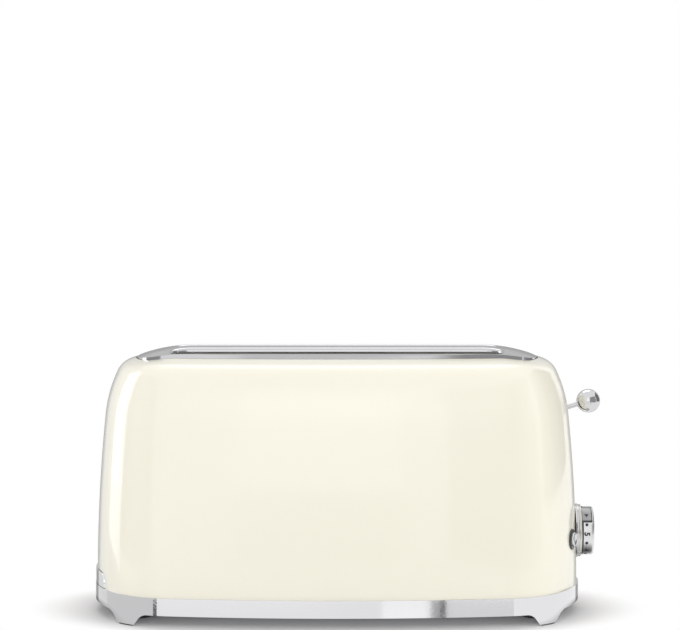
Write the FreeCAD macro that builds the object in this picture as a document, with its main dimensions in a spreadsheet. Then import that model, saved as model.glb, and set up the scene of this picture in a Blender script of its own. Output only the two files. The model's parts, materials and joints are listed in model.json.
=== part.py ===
"""Pop up toaster with two long slots, as a parametric FreeCAD document.

The body is drawn about its own centre: X runs along its length with the controls at the +X end, -Y is
the front and Z is up from the table. Every finished piece is then moved along X by the same amount, so
that the origin lies at the bottom centre of the whole object, lever ball included.
"""

import FreeCAD, Part
import math
import os
import re

import Sketcher
from FreeCAD import Rotation, Vector

# Driving dimensions in millimetres and degrees, one spreadsheet cell each.
SIZES = {
    # plan of the body
    "half_length": 198.0,        # base ring, centre to end
    "half_depth": 104.0,         # base ring, centre to front
    "end_radius": 120.0,         # bow of the two ends
    "corner_radius": 62.0,
    "front_radius": 900.0,       # slight bow of the long sides
    # heights of the outside
    "crown_top": 215.0,          # highest line of the top panel
    "ring_top": 23.7,
    "ring_bottom": 9.8,
    "leg_bottom": 1.0,
    # shell wall
    "shell_inset": 1.5,          # shell edge inside the ring edge
    "shell_wall": 1.2,
    "form_depth": 12.0,          # thickness of the wall form that trims other pieces
    "side_angle": 6.0,           # lean of the wall where the shoulder begins
    "shoulder_angle": 25.5,
    "brow_angle": 74.0,
    "crown_angle": 78.0,
    "shoulder_radius": 108.0,
    "brow_radius": 18.0,
    "crown_radius": 400.0,
    "crown_spare": 6.3,          # the crown's arc would end this far over the top panel
    # top panel
    "panel_inset": 33.0,         # panel edge inside the shell's base edge, at its ends
    "panel_squeeze": 10.5,       # and this much further in along its sides
    "panel_gap": 0.8,            # open joint between panel and shell
    "panel_wall": 0.8,
    "panel_rim": 5.0,            # depth of its turned-down rim
    "panel_bow": 650.0,          # radius of its crown from front to back
    "panel_drop": 138.0,         # radius by which its ends fall
    "ledge_width": 3.0,
    "slot_end": 64.0,            # from the ring's end to the end of the bread slots
    "slot_run_out": 16.0,        # the panel begins to fall this far inside the slot's end
    "slot_width": 36.0,
    "slot_centre": 28.0,         # bread slot, from the centre plane
    "slot_corner": 14.0,
    "slot_lip": 6.0,
    # ring, legs and feet
    "ring_wall": 2.5,
    "ring_flange": 9.0,
    "flange_thickness": 1.5,
    "leg_end": 36.5,             # from the ring's end to the leg's inner side at its bottom
    "leg_width": 12.0,
    "leg_spread": 3.0,           # how much wider each side is at the ring
    "leg_blend": 4.0,            # radius of the curve into the ring's lower edge
    "leg_thickness": 9.0,
    "foot_radius": 12.0,
    "foot_gap": 4.5,             # foot to leg
    "foot_turn": 12.0,           # where it stands round the corner's centre, from the X axis
    "sole_margin": 0.4,
    # base pan
    "pan_clearance": 0.3,
    "pan_rise": 0.8,             # pan above the ring's lower edge
    "pan_sheet": 1.2,
    "vent_length": 60.0,
    "vent_width": 5.0,
    "vent_pitch": 12.0,
    "boss_end": 58.0,            # from the ring's end and front to the screw boss
    "boss_front": 21.5,
    "boss_skin": 3.7,            # ring left over the screw's bore
    "screw_spare": 1.0,          # bore beyond the screw's tip
    "boss_radius": 4.5,
    "screw_radius": 1.75,
    "screw_head_radius": 3.4,
    "screw_head_height": 1.4,
    "screw_clearance": 0.15,
    "gland_end": 117.0,          # from the ring's left end and rear to the cord gland
    "gland_rear": 32.0,
    "gland_radius": 7.5,
    "gland_bore": 3.6,
    "gland_flange": 10.5,
    "gland_height": 12.0,
    # chassis
    "plate_gap": 5.0,            # end plates beyond the ends of the slots
    "plate_sheet": 1.2,
    "plate_margin": 3.0,         # end plates wider than the reflectors
    "plate_drop": 19.0,          # their top below the panel's crown
    "plate_chamfer": 12.0,
    "reflector_gap": 5.0,        # behind the outer heater boards
    "reflector_sheet": 0.6,
    "reflector_rise": 13.0,      # above the crumb tray's floor
    "reflector_drop": 6.0,       # below the end plates' top
    "brace_half_width": 4.0,
    "brace_height": 4.0,
    "brace_wall": 1.0,
    # heaters
    "heater_gap": 6.5,           # outer heater boards beyond the guards
    "mica_sheet": 1.0,
    "mica_tab": 5.0,
    "heater_margin": 5.0,        # boards inside the reflectors, at the bottom
    "heater_drop": 9.0,          # below the end plates' top
    "winding_margin": 13.0,      # wound part inside the end plates
    "winding_sheet": 0.4,
    "ribbon_width": 2.0,
    "ribbon_pitch": 14.0,
    "ribbon_turns": 9,
    "winding_rise": 8.0,         # first ribbon above the board's lower edge
    # bread guards
    "guard_margin": 1.5,         # guard wires outside the slot's side
    "guard_rise": 2.0,           # pivots above the reflectors' lower edge
    "guard_drop": 12.0,          # top rods below the end plates' top
    "guard_wire": 0.8,           # radius
    "guard_rod": 1.0,            # radius of pivot and top rods
    "guard_end": 9.0,            # top rods inside the end plates
    "guard_wires": 14,
    "pivot_clearance": 0.08,
    # lever and carriage
    "lever_travel": 68.0,
    "rack_down": 44.0,           # top of the rack strips with the lever down
    "rod_gap": 13.5,             # guide rod beyond the end plate
    "rod_radius": 3.0,
    "bush_wall": 3.0,
    "bush_clearance": 0.05,
    "bush_rise": 6.0,            # bush above the racks' top
    "bush_length": 42.0,
    "bush_flat": 4.2,            # half width of the flat that takes the lever arm
    "lever_block": 1.5,          # flat beyond the round of the bush
    "carriage_gap": 5.0,
    "carriage_sheet": 1.6,
    "carriage_margin": 5.0,      # carriage wider than the racks
    "carriage_drop": 12.0,       # below the racks' top
    "carriage_rise": 4.0,        # above it
    "carriage_neck": 12.0,       # half width of the upper part that holds the bush
    "arm_radius": 2.0,
    "arm_angle": 17.0,
    "ball_reach": 8.0,           # ball centre beyond the ring's end
    "ball_radius": 9.65,
    "ball_rise": 58.5,           # ball centre above the racks' top
    "arm_in_ball": 6.0,
    "lever_slot_side": 1.0,      # clearance each side of the arm
    "lever_slot_clearance": 3.5,
    "rack_height": 8.0,
    "rack_sheet": 1.6,
    "rack_end": 11.0,            # racks inside the left end plate
    "rack_bar_margin": 3.0,      # bars inside the slot's side
    "rack_bar_width": 2.4,
    "rack_bar_height": 2.0,
    "rack_bars": 9,
    "rack_slot_clearance": 1.2,
    "keeper_y": -22.0,
    "keeper_half_width": 7.0,
    "keeper_half_length": 8.0,
    "keeper_offset": 4.0,        # keeper beyond the guide rod
    "keeper_sheet": 2.0,
    "keeper_gap": 0.3,           # left over the magnet when the lever is down
    "magnet_top": 44.0,
    "core_half_length": 6.0,
    "core_half_width": 5.0,
    "coil_foot": 3.2,            # coil above the pan
    "coil_drop": 8.0,            # coil below the core's top
    "coil_wall": 3.5,
    "coil_clearance": 0.2,
    "bracket_overhang": 9.5,     # beyond the guide rod
    "bracket_half_width": 8.0,
    "bracket_sheet": 1.5,
    "spring_y": 20.0,
    "spring_radius": 4.0,
    "spring_wire": 0.5,
    "spring_turns": 18,
    "spring_hook": 8.0,          # half width of the carriage tab that holds it
    # crumb tray
    "tray_half_width": 44.0,
    "tray_rise": 3.3,            # tray's floor above the ring
    "tray_height": 7.0,
    "tray_wall": 0.8,
    "tray_end": 11.0,            # tray inside the right end plate
    "tray_clearance": 0.4,
    "tray_gap": 0.3,
    "tray_front_side": 3.5,      # its front wider than the tray, each side
    "tray_front_rise": 1.5,      # and higher
    "tray_front_corner": 8.0,
    "tray_front_depth": 4.0,
    "tray_front_inset": 0.3,
    "doorway_depth": 40.0,
    "rail_sheet": 1.2,
    "rail_ledge": 5.0,
    # browning control
    "knob_height": 63.5,
    "knob_radius": 19.7,
    "knob_reach": 12.0,          # knob face beyond the ring's end
    "knob_wall": 1.8,
    "knob_face": 2.5,
    "knob_edge": 1.2,
    "knob_gap": 0.8,             # knob skirt to bezel floor
    "knob_side_gap": 0.6,
    "bezel_wall": 1.7,
    "bezel_reach": 2.0,          # bezel front beyond the ring's end
    "hub_wall": 3.0,
    "shaft_radius": 3.0,
    "shaft_clearance": 0.4,
    "shaft_fit": 0.03,
    "index_width": 7.8,
    "index_low": 28.0,           # degrees above the front horizontal
    "index_span": 51.0,
    "index_height": 0.4,
    "index_margin": 0.8,
    # buttons
    "button_offset": 38.0,
    "button_drop": 1.5,          # below the knob's axis
    "button_radius": 5.8,
    "button_trim": 2.4,          # wall of the surround
    "button_trim_proud": 1.6,
    "button_trim_depth": 6.0,
    "button_gap": 0.3,
    "button_proud": 3.2,
    "button_depth": 4.8,         # cap inside the shell
    "button_stem": 2.0,
    "button_stem_end": 9.0,
    # control board
    "board_inset": 25.0,         # board face from the ring's end
    "board_sheet": 1.6,
    "board_half_width": 42.0,
    "board_drop": 37.5,          # below the knob's axis
    "board_rise": 20.5,          # above it
    "post_width": 5.0,
    "post_depth": 4.0,
    "pot_half_width": 8.0,
    "pot_depth": 8.0,
    "switch_half_width": 3.5,
    "switch_depth": 3.6,
    "relay_width": 16.0,
    "relay_height": 11.0,
    "relay_rise": 5.0,           # above the board's lower edge
    "component_depth": 8.0,
    "capacitor_radius": 5.0,
    "capacitor_rise": 8.0,
    "capacitor_pitch": 16.0,
    # mains terminal
    "terminal_offset": 30.0,     # beyond the gland, towards the left end
    "terminal_rear": 30.0,       # from the ring's rear
    "terminal_length": 30.0,
    "terminal_width": 12.0,
    "terminal_height": 14.0,
    "terminal_ways": 3,
    "terminal_bore": 2.2,
}

# Places and sizes that follow from the driving dimensions.
PLACES = {
    # along the body
    "slot_half_length": "half_length - slot_end",
    "panel_flat": "slot_half_length - slot_run_out",
    "plate_x": "slot_half_length + plate_gap",
    "plate_out": "plate_x + plate_sheet",
    "winding_half_length": "plate_x - winding_margin",
    "guard_half_length": "plate_x - guard_end",
    "rack_half_length": "plate_x - rack_end",
    "tray_right": "plate_x - tray_end",
    "rod_x": "plate_x + rod_gap",
    "carriage_x": "plate_x + carriage_gap",
    "carriage_out": "carriage_x + carriage_sheet",
    "keeper_x": "rod_x + keeper_offset",
    "ball_x": "half_length + ball_reach",
    "leg_inner": "half_length - leg_end",
    "boss_x": "half_length - boss_end",
    "gland_x": "gland_end - half_length",
    "terminal_x": "gland_x - terminal_offset",
    "board_back": "half_length - board_inset",
    "board_face": "board_back + board_sheet",
    "knob_back": "half_length + knob_gap",
    "knob_front": "half_length + knob_reach",
    # from front to back
    "guard_reach": "slot_width / 2 + guard_margin",
    "rack_bar_half_width": "slot_width / 2 - rack_bar_margin",
    "heater_y": "slot_centre + guard_reach + heater_gap",
    "reflector_y": "heater_y + reflector_gap",
    "plate_half_width": "reflector_y + plate_margin",
    "carriage_half_width": "slot_centre + carriage_margin",
    "foot_depth": "leg_thickness + foot_gap + foot_radius",
    "boss_y": "half_depth - boss_front",
    "gland_y": "half_depth - gland_rear",
    "terminal_y": "half_depth - terminal_rear",
    "tray_front_half_width": "tray_half_width + tray_front_side",
    "switch_y": "button_offset - switch_half_width",
    # heights
    "pan_bottom": "ring_bottom + pan_rise",
    "pan_top": "pan_bottom + pan_sheet",
    "boss_bore_top": "ring_top - boss_skin",
    "screw_tip": "boss_bore_top - screw_spare",
    "tray_floor": "ring_top + tray_rise",
    "tray_top": "tray_floor + tray_height",
    "tray_front_top": "tray_top + tray_front_rise",
    "reflector_bottom": "tray_floor + reflector_rise",
    "heater_bottom": "reflector_bottom + heater_margin",
    "guard_pivot": "reflector_bottom + guard_rise",
    "plate_top": "crown_top - plate_drop",
    "reflector_top": "plate_top - reflector_drop",
    "heater_top": "plate_top - heater_drop",
    "guard_top": "plate_top - guard_drop",
    "rack_top": "rack_down + lever_travel",
    "bush_bottom": "rack_top + bush_rise",
    "bush_top": "bush_bottom + bush_length",
    "carriage_bottom": "rack_top - carriage_drop",
    "carriage_top": "rack_top + carriage_rise",
    "ball_height": "rack_top + ball_rise",
    "keeper_top": "magnet_top + lever_travel + keeper_gap + keeper_sheet",
    "coil_bottom": "pan_top + coil_foot",
    "coil_top": "magnet_top - coil_drop",
    "button_height": "knob_height - button_drop",
    "board_bottom": "knob_height - board_drop",
    "board_top": "knob_height + board_rise",
    # round pieces and their clearances
    "bush_radius": "rod_radius + bush_wall",
    "lever_slot_width": "2 * (arm_radius + lever_slot_side)",
    "bezel_bore": "knob_radius + knob_side_gap",
    "bezel_radius": "bezel_bore + bezel_wall",
    "hub_radius": "shaft_radius + hub_wall",
    "button_bore": "button_radius + button_gap",
    "button_trim_radius": "button_bore + button_trim",
}

# Half the amount by which the lever ball reaches past the body: this centres the whole object on X.
SHIFT = "-(ball_reach + ball_radius) / 2"
UP = Vector(0, 0, 1)
ALONG = Vector(1, 0, 0)
ACROSS = Vector(0, 1, 0)

doc = FreeCAD.newDocument("Toaster")
sheet = doc.addObject("Spreadsheet::Sheet", "Sizes")
for row, (alias, value) in enumerate(SIZES.items(), start=1):
    sheet.set(f"A{row}", alias)
    sheet.set(f"B{row}", str(value))
    sheet.setAlias(f"B{row}", alias)
doc.recompute()

pieces = []


# ---------------------------------------------------------------- values, places and labels

def spelled(text):
    """Writes a text's places out, down to the names that the sheet holds."""
    def meaning(word):
        return f"({spelled(PLACES[word[0]])})" if word[0] in PLACES else word[0]

    return re.sub(r"[a-z][a-z_]+", meaning, text)


def number(text):
    """Value of an expression of sizes and places."""
    return float(sheet.evalExpression(spelled(text)))


def bound(text):
    """The same expression as other objects write it."""
    def cell(word):
        return f"Sizes.{word[0]}" if word[0] in SIZES else word[0]

    return re.sub(r"[a-z][a-z_]+", cell, spelled(text))


def bind(item, name, text):
    item.setExpression(name, bound(text))


def finish(item, label, x=SHIFT):
    """Names a finished piece and moves it to the object's own origin."""
    item.Label = label
    bind(item, "Placement.Base.x", x)
    pieces.append(item)
    return item


def title(label):
    return "".join(word.capitalize() for word in label.split("_"))


# ---------------------------------------------------------------- PartDesign helpers

def new_body(label, groups=False):
    body = doc.addObject("PartDesign::Body", title(label))
    body.AllowCompound = groups
    return finish(body, label)


def new_sketch(body, plane, offset):
    sketch = body.newObject("Sketcher::SketchObject", "Sketch")
    support = next(item for item in body.Origin.OriginFeatures if item.Role == plane)
    sketch.AttachmentSupport = (support, [""])
    sketch.MapMode = "FlatFace"
    bind(sketch, "AttachmentOffset.Base.z", offset)
    return sketch


def pin(sketch, kind, geometry, point, text):
    """A dimension of a sketch, held by the sheet."""
    place = (geometry, point) if point else (geometry,)
    index = sketch.addConstraint(Sketcher.Constraint(kind, *place, number(text)))
    bind(sketch, f"Constraints[{index}]", text)


def add_polygon(sketch, points):
    first = sketch.GeometryCount
    corners = [Vector(number(u), number(v), 0) for u, v in points]
    for start, end in zip(corners, corners[1:] + corners[:1]):
        sketch.addGeometry(Part.LineSegment(start, end))
    for index in range(len(points)):
        before = first + (index - 1) % len(points)
        sketch.addConstraint(Sketcher.Constraint("Coincident", before, 2, first + index, 1))
    for index, (u, v) in enumerate(points, start=first):
        pin(sketch, "DistanceX", index, 1, u)
        pin(sketch, "DistanceY", index, 1, v)


def add_circle(sketch, u, v, radius):
    index = sketch.addGeometry(Part.Circle(Vector(number(u), number(v), 0), Vector(0, 0, 1), number(radius)))
    pin(sketch, "DistanceX", index, 3, u)
    pin(sketch, "DistanceY", index, 3, v)
    pin(sketch, "Radius", index, None, radius)


def rectangle(left, right, low, high):
    return [(left, low), (right, low), (right, high), (left, high)]


def pad(body, length, plane="XY_Plane", offset="0", polygons=(), circles=()):
    """Adds a drawn outline along the plane's normal: +Z for XY, +X for YZ."""
    sketch = new_sketch(body, plane, offset)
    for points in polygons:
        add_polygon(sketch, points)
    for circle in circles:
        add_circle(sketch, *circle)
    feature = body.newObject("PartDesign::Pad", "Pad")
    feature.Profile = sketch
    bind(feature, "Length", length)
    doc.recompute()
    return feature


def pocket(body, depth, plane="XY_Plane", offset="0", polygons=(), circles=()):
    """Cuts a drawn outline to the same depth on both sides of its plane."""
    before = body.Shape.Volume
    sketch = new_sketch(body, plane, offset)
    for points in polygons:
        add_polygon(sketch, points)
    for circle in circles:
        add_circle(sketch, *circle)
    feature = body.newObject("PartDesign::Pocket", "Pocket")
    feature.Profile = sketch
    feature.Midplane = True
    bind(feature, "Length", f"2 * ({depth})")
    doc.recompute()
    if body.Shape.Volume >= before:
        raise RuntimeError(f"a pocket in {body.Label} cuts nothing")
    return feature


def repeat(body, features, count, length, axis):
    """Linear pattern along one of the body's own axes."""
    pattern = body.newObject("PartDesign::LinearPattern", "LinearPattern")
    pattern.Originals = features
    pattern.Direction = (next(item for item in body.Origin.OriginFeatures if item.Role == axis), [""])
    bind(pattern, "Occurrences", count)
    bind(pattern, "Length", length)
    body.Tip = pattern
    doc.recompute()
    return pattern


def plate(label, length, plane, offset, *polygons):
    body = new_body(label)
    pad(body, length, plane, offset, polygons=polygons)
    return body


# ---------------------------------------------------------------- Part helpers

def box(low, size):
    item = doc.addObject("Part::Box", "Box")
    for name, text in zip(("Length", "Width", "Height"), size):
        bind(item, name, text)
    for name, text in zip("xyz", low):
        bind(item, f"Placement.Base.{name}", text)
    return item


def cylinder(foot, radius, height, direction=UP):
    item = doc.addObject("Part::Cylinder", "Cylinder")
    bind(item, "Radius", radius)
    bind(item, "Height", height)
    item.Placement.Rotation = Rotation(UP, direction)
    for name, text in zip("xyz", foot):
        bind(item, f"Placement.Base.{name}", text)
    return item


def cut(base, *tools):
    for tool in tools:
        result = doc.addObject("Part::Cut", "Cut")
        result.Base = base
        result.Tool = tool
        base = result
    return base


def fuse(items):
    result = doc.addObject("Part::MultiFuse", "Fusion")
    result.Shapes = list(items)
    result.Refine = True
    return result


def group(items):
    result = doc.addObject("Part::Compound", "Group")
    result.Links = list(items)
    return result


def coded(label, shape):
    item = doc.addObject("Part::Feature", title(label))
    item.Shape = shape
    return item


# ---------------------------------------------------------------- outline and wall of the body

def corner_centre(squeeze=0.0):
    """Centre of the rear right corner's arc, which touches the end's and the rear's arcs from inside."""
    end_centre, rear_centre = number("half_length - end_radius"), number("front_radius - half_depth") + squeeze
    reach, rise = number("end_radius - corner_radius"), number("front_radius - corner_radius")
    span = math.hypot(end_centre, rear_centre)
    along = (rise ** 2 - reach ** 2 + span ** 2) / (2 * span)
    aside = math.sqrt(rise ** 2 - along ** 2)
    x = (along * end_centre + aside * rear_centre) / span
    y = (along * rear_centre - aside * end_centre) / span - rear_centre
    return x, y


def corner_spot(depth, turn, height):
    """Point in the front right corner, a depth inside the outline and turned from the X axis."""
    x, y = corner_centre()
    reach = number("corner_radius") - number(depth)
    angle = math.radians(number(turn))
    return Vector(x + reach * math.cos(angle), -y - reach * math.sin(angle), height)


def plan_wire(inset, height, squeeze=0.0):
    """Closed outline of tangent arcs, drawn in from the ring's edge by inset, from the middle of the rear.

    A squeezed outline is shallower from front to back.
    """
    end = number("end_radius") - inset
    corner = number("corner_radius") - inset
    front = number("front_radius") - inset
    end_centre = number("half_length - end_radius")
    front_centre = number("front_radius - half_depth") + squeeze
    x, y = corner_centre(squeeze)
    end_turn = math.atan2(y, x - end_centre)
    front_turn = math.atan2(x, front_centre + y)
    quarter = math.pi / 2
    arcs = [
        (0, -front_centre, front, quarter, quarter + front_turn),
        (-x, y, corner, quarter + front_turn, 2 * quarter - end_turn),
        (-end_centre, 0, end, 2 * quarter - end_turn, 2 * quarter + end_turn),
        (-x, -y, corner, 2 * quarter + end_turn, 3 * quarter - front_turn),
        (0, front_centre, front, 3 * quarter - front_turn, 3 * quarter + front_turn),
        (x, -y, corner, 3 * quarter + front_turn, 4 * quarter - end_turn),
        (end_centre, 0, end, 4 * quarter - end_turn, 4 * quarter + end_turn),
        (x, y, corner, end_turn, quarter - front_turn),
        (0, -front_centre, front, quarter - front_turn, quarter),
    ]
    edges = []
    for centre_x, centre_y, radius, start, stop in arcs:
        points = [
            Vector(centre_x + radius * math.cos(turn), centre_y + radius * math.sin(turn), height)
            for turn in (start, (start + stop) / 2, stop)
        ]
        edges.append(Part.Arc(*points).toShape())
    return Part.Wire(edges)


def plan_prism(inset, bottom, top, squeeze=0.0):
    return Part.Face(plan_wire(inset, bottom, squeeze)).extrude(Vector(0, 0, top - bottom))


def plan_ring(outside, inside, bottom, top, squeeze=0.0):
    return plan_prism(outside, bottom, top, squeeze).cut(plan_prism(inside, bottom - 1, top + 1, squeeze))


def wall_arcs():
    """The shell's profile as (radius, start angle, end angle, centre inset, centre height).

    Four tangent arcs: a long one that leans in, the shoulder, the brow and the crown.
    """
    angles = ("side_angle", "shoulder_angle", "brow_angle", "crown_angle")
    turns = [math.radians(number(name)) for name in angles]
    radii = [0.0] + [number(name) for name in ("shoulder_radius", "brow_radius", "crown_radius")]
    rise = number("crown_top + crown_spare - ring_top")
    rise -= radii[1] * (math.sin(turns[1]) - math.sin(turns[0]))
    rise -= radii[2] * (math.sin(turns[2]) - math.sin(turns[1]))
    rise -= radii[3] * (1 - math.sin(turns[2]))
    radii[0] = rise / math.sin(turns[0])
    centre, height = number("shell_inset") + radii[0], number("ring_top")
    arcs = []
    start = 0.0
    for index, (radius, turn) in enumerate(zip(radii, turns)):
        if index:
            change = radii[index - 1] - radius
            centre -= change * math.cos(start)
            height += change * math.sin(start)
        arcs.append((radius, start, turn, centre, height))
        start = turn
    return arcs


def wall_x(level):
    """Half length of the shell's outer face at a height."""
    for radius, start, turn, centre, height in wall_arcs():
        rise = (level - height) / radius
        if math.sin(start) <= rise <= math.sin(turn):
            return number("half_length") - centre + math.sqrt(radius ** 2 - (level - height) ** 2)
    raise ValueError("the level is off the wall")


def wall_solid(outside, inside):
    """The body's wall between two depths below its outer face, swept round the outline."""
    back = number("half_depth")

    def face_edges(depth):
        edges = []
        for radius, start, turn, centre, height in wall_arcs():
            reach = radius - depth
            points = [
                Vector(0, back - centre + reach * math.cos(angle), height + reach * math.sin(angle))
                for angle in (start, (start + turn) / 2, turn)
            ]
            edges.append(Part.Arc(*points).toShape())
        return edges

    outer, inner = face_edges(outside), face_edges(inside)
    foot = Part.makeLine(inner[0].firstVertex().Point, outer[0].firstVertex().Point)
    head = Part.makeLine(outer[-1].lastVertex().Point, inner[-1].lastVertex().Point)
    section = Part.Wire(Part.__sortEdges__([foot, *outer, head, *inner]))
    sweep = Part.BRepOffsetAPI.MakePipeShell(plan_wire(number("shell_inset"), number("ring_top")))
    sweep.setFrenetMode(True)
    sweep.add(section)
    sweep.build()
    sweep.makeSolid()
    return sweep.shape()


def crown_band(top, bottom):
    """Solid between two depths below the top panel's crowned face."""
    bow, flat, drop = number("panel_bow"), number("panel_flat"), number("panel_drop")
    crown = number("crown_top")
    half = number("half_depth")
    corners = []
    for depth in (top, bottom):
        radius = bow - depth
        side = crown - bow + math.sqrt(radius ** 2 - half ** 2)
        corners.append((Vector(-flat, -half, side), Vector(-flat, 0, crown - depth), Vector(-flat, half, side)))
    upper, lower = corners
    outline = Part.Wire([
        Part.Arc(*upper).toShape(),
        Part.makeLine(upper[2], lower[2]),
        Part.Arc(*reversed(lower)).toShape(),
        Part.makeLine(lower[0], upper[0]),
    ])
    middle = Part.Face(outline).extrude(Vector(2 * flat, 0, 0))
    fall = math.degrees(math.asin(min(1.0, (number("half_length") - flat) / drop)))
    left = Part.Face(outline).revolve(Vector(-flat, 0, crown - drop), ACROSS, -fall)
    right = left.mirror(Vector(), ALONG)
    return middle.fuse([left, right])


body_form = coded("body_form", wall_solid(0, number("form_depth")))
edge_inset = number("shell_inset + panel_inset - panel_gap")
rim_inset = number("shell_inset + panel_inset")
squeeze = number("panel_squeeze")


def slot_prism(grow, side, bottom, top):
    """Prism of one bread slot, with round corners, grown outwards by a little."""
    half_x = number("slot_half_length") + grow
    half_y = number("slot_width") / 2 + grow
    corner = number("slot_corner") + grow
    centre = side * number("slot_centre")
    shape = Part.makeBox(2 * half_x, 2 * half_y, top - bottom, Vector(-half_x, centre - half_y, bottom))
    upright = [edge for edge in shape.Edges if abs(edge.tangentAt(edge.FirstParameter).z) > 0.5]
    return shape.makeFillet(corner, upright)


def bottom_of_panel():
    return number("crown_top - panel_rim - panel_drop")


def top_panel():
    low, high = bottom_of_panel(), number("crown_top") + 1
    wall, rim, lip = number("panel_wall"), number("panel_rim"), number("slot_lip")
    outside = crown_band(0, rim).common(plan_prism(rim_inset, low, high, squeeze))
    hollow = crown_band(wall, rim + lip).common(plan_prism(rim_inset + wall, low, high, squeeze))
    shape = outside.cut(hollow)
    for side in (-1, 1):
        shape = shape.fuse(slot_prism(wall, side, low, high).common(crown_band(0, lip)))
    for side in (-1, 1):
        shape = shape.cut(slot_prism(0, side, low, high))
    return shape.removeSplitter()


def body_shell():
    wall, rim = number("shell_wall"), number("panel_rim")
    low, high = number("ring_top"), number("crown_top") + 1
    form = body_form.Shape
    shape = wall_solid(0, wall).cut(plan_prism(edge_inset, low + 1, high, squeeze))
    # The edge turns down beside the panel and ends in a ledge that carries the panel's rim.
    turned = plan_ring(edge_inset - wall, edge_inset, low, high, squeeze).common(form)
    turned = turned.common(crown_band(-rim, rim + wall))
    ledge = plan_ring(edge_inset - wall, rim_inset + number("ledge_width"), low, high, squeeze)
    ledge = ledge.common(crown_band(rim, rim + wall))
    return shape.fuse([turned, ledge])


# ---------------------------------------------------------------- outside pieces

def shell_openings():
    """Tools that cut the lever slot, the control holes and the tray opening."""
    reach = number("half_length")
    width, spare = number("lever_slot_width"), number("lever_slot_clearance")
    slope = math.tan(math.radians(number("arm_angle")))
    ball_x, ball_z = number("half_length + ball_reach"), number("ball_height")
    high = ball_z - slope * (ball_x - wall_x(ball_z)) + spare
    low = ball_z - number("lever_travel") - slope * (ball_x - wall_x(ball_z - number("lever_travel"))) - spare
    inside = number("half_length - board_inset")
    slot = Part.makeBox(reach, width, high - low - width, Vector(inside, -width / 2, low + width / 2))
    for level in (low + width / 2, high - width / 2):
        slot = slot.fuse(Part.makeCylinder(width / 2, reach, Vector(inside, 0, level), ALONG))
    knob = Part.makeCylinder(number("hub_radius"), reach, Vector(inside, 0, number("knob_height")), ALONG)
    tools = [slot, knob]
    for side in (-1, 1):
        spot, normal = button_axis(side)
        depth = number("form_depth")
        tools.append(Part.makeCylinder(number("button_bore"), 2 * depth, spot - normal * depth, normal))
    tools.append(tray_doorway(number("tray_clearance")))
    return tools


def button_axis(side):
    """Point on the shell's face at a button's centre, and the outward normal of the plan there."""
    centre = number("half_length - end_radius")
    radius = wall_x(number("button_height")) - centre
    turn = math.asin(number("button_offset") / radius)
    normal = Vector(math.cos(turn), side * math.sin(turn), 0)
    return Vector(centre, 0, number("button_height")) + normal * radius, normal


def tray_doorway(grow):
    """Block with round upper corners through the left end, where the crumb tray's front stands."""
    half = number("tray_front_half_width") + grow
    low, high = number("ring_top"), number("tray_front_top") + grow
    left, corner = -number("half_length"), number("tray_front_corner") + grow
    block = Part.makeBox(number("doorway_depth"), 2 * half, high - low, Vector(left, -half, low))
    upper = [edge for edge in block.Edges
             if abs(edge.tangentAt(edge.FirstParameter).x) > 0.5 and edge.CenterOfMass.z > high - 0.01]
    return block.makeFillet(corner, upper)


shell_shape = body_shell()
for tool in shell_openings():
    shell_shape = shell_shape.cut(tool)
finish(coded("body_shell", shell_shape), "body_shell")
finish(coded("top_panel", top_panel()), "top_panel")


def leg_wedge(bottom, top):
    """Front view of the front right leg, as a block from front to centre."""
    inner, outer = number("leg_inner"), number("leg_inner + leg_width")
    spread, blend = number("leg_spread"), number("leg_blend")
    edge = number("ring_bottom")
    bend = blend * math.sqrt(0.5)
    edges = []
    for side, x in ((-1, inner), (1, outer)):
        knee = Vector(x + side * spread, 0, edge - blend)
        middle = Vector(x + side * (spread + blend - bend), 0, edge - blend + bend)
        shoulder = Vector(x + side * (spread + blend), 0, edge)
        edges.append(Part.makeLine(Vector(x, 0, bottom), knee))
        edges.append(Part.Arc(knee, middle, shoulder).toShape())
        edges.append(Part.makeLine(shoulder, Vector(shoulder.x, 0, top)))
    edges.append(Part.makeLine(Vector(inner, 0, bottom), Vector(outer, 0, bottom)))
    edges.append(Part.makeLine(edges[2].lastVertex().Point, edges[5].lastVertex().Point))
    face = Part.Face(Part.Wire(Part.__sortEdges__(edges)))
    return face.extrude(Vector(0, -number("half_depth"), 0))


def mirrored(shape):
    """The shape and its copies in the other three corners."""
    pair = [shape, shape.mirror(Vector(), ACROSS)]
    return pair + [item.mirror(Vector(), ALONG) for item in pair]


def base_ring():
    low, high = number("ring_bottom"), number("ring_top")
    under = number("ring_top - flange_thickness")
    ring = plan_ring(0, number("ring_wall"), low, high)
    ring = ring.fuse(plan_ring(0, number("ring_flange"), under, high))
    leg = plan_ring(0, number("leg_thickness"), number("leg_bottom"), number("pan_bottom"))
    leg = leg.common(leg_wedge(number("leg_bottom"), number("pan_bottom")))
    spot = Vector(number("boss_x"), -number("boss_y"), number("pan_bottom + pan_sheet"))
    boss = Part.makeCylinder(number("boss_radius"), high - spot.z, spot)
    bore = Part.makeCylinder(number("screw_radius + screw_clearance"), number("boss_bore_top") - spot.z, spot)
    ring = ring.fuse(mirrored(leg) + mirrored(boss))
    for tool in mirrored(bore):
        ring = ring.cut(tool)
    return ring.removeSplitter()


finish(coded("base_ring", base_ring()), "base_ring")


def foot_pad():
    """Rubber foot at the front right: a round block, and a sole under the leg."""
    spot = corner_spot("foot_depth", "foot_turn", 0)
    block = Part.makeCylinder(number("foot_radius"), number("pan_bottom"), spot)
    margin = number("sole_margin")
    sole = plan_ring(margin, number("leg_thickness"), 0, number("leg_bottom"))
    strip = Part.makeBox(number("leg_width") - 2 * margin, number("half_depth"), number("leg_bottom"),
                         Vector(number("leg_inner") + margin, -number("half_depth"), 0))
    return block.fuse(sole.common(strip)).removeSplitter()


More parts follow.
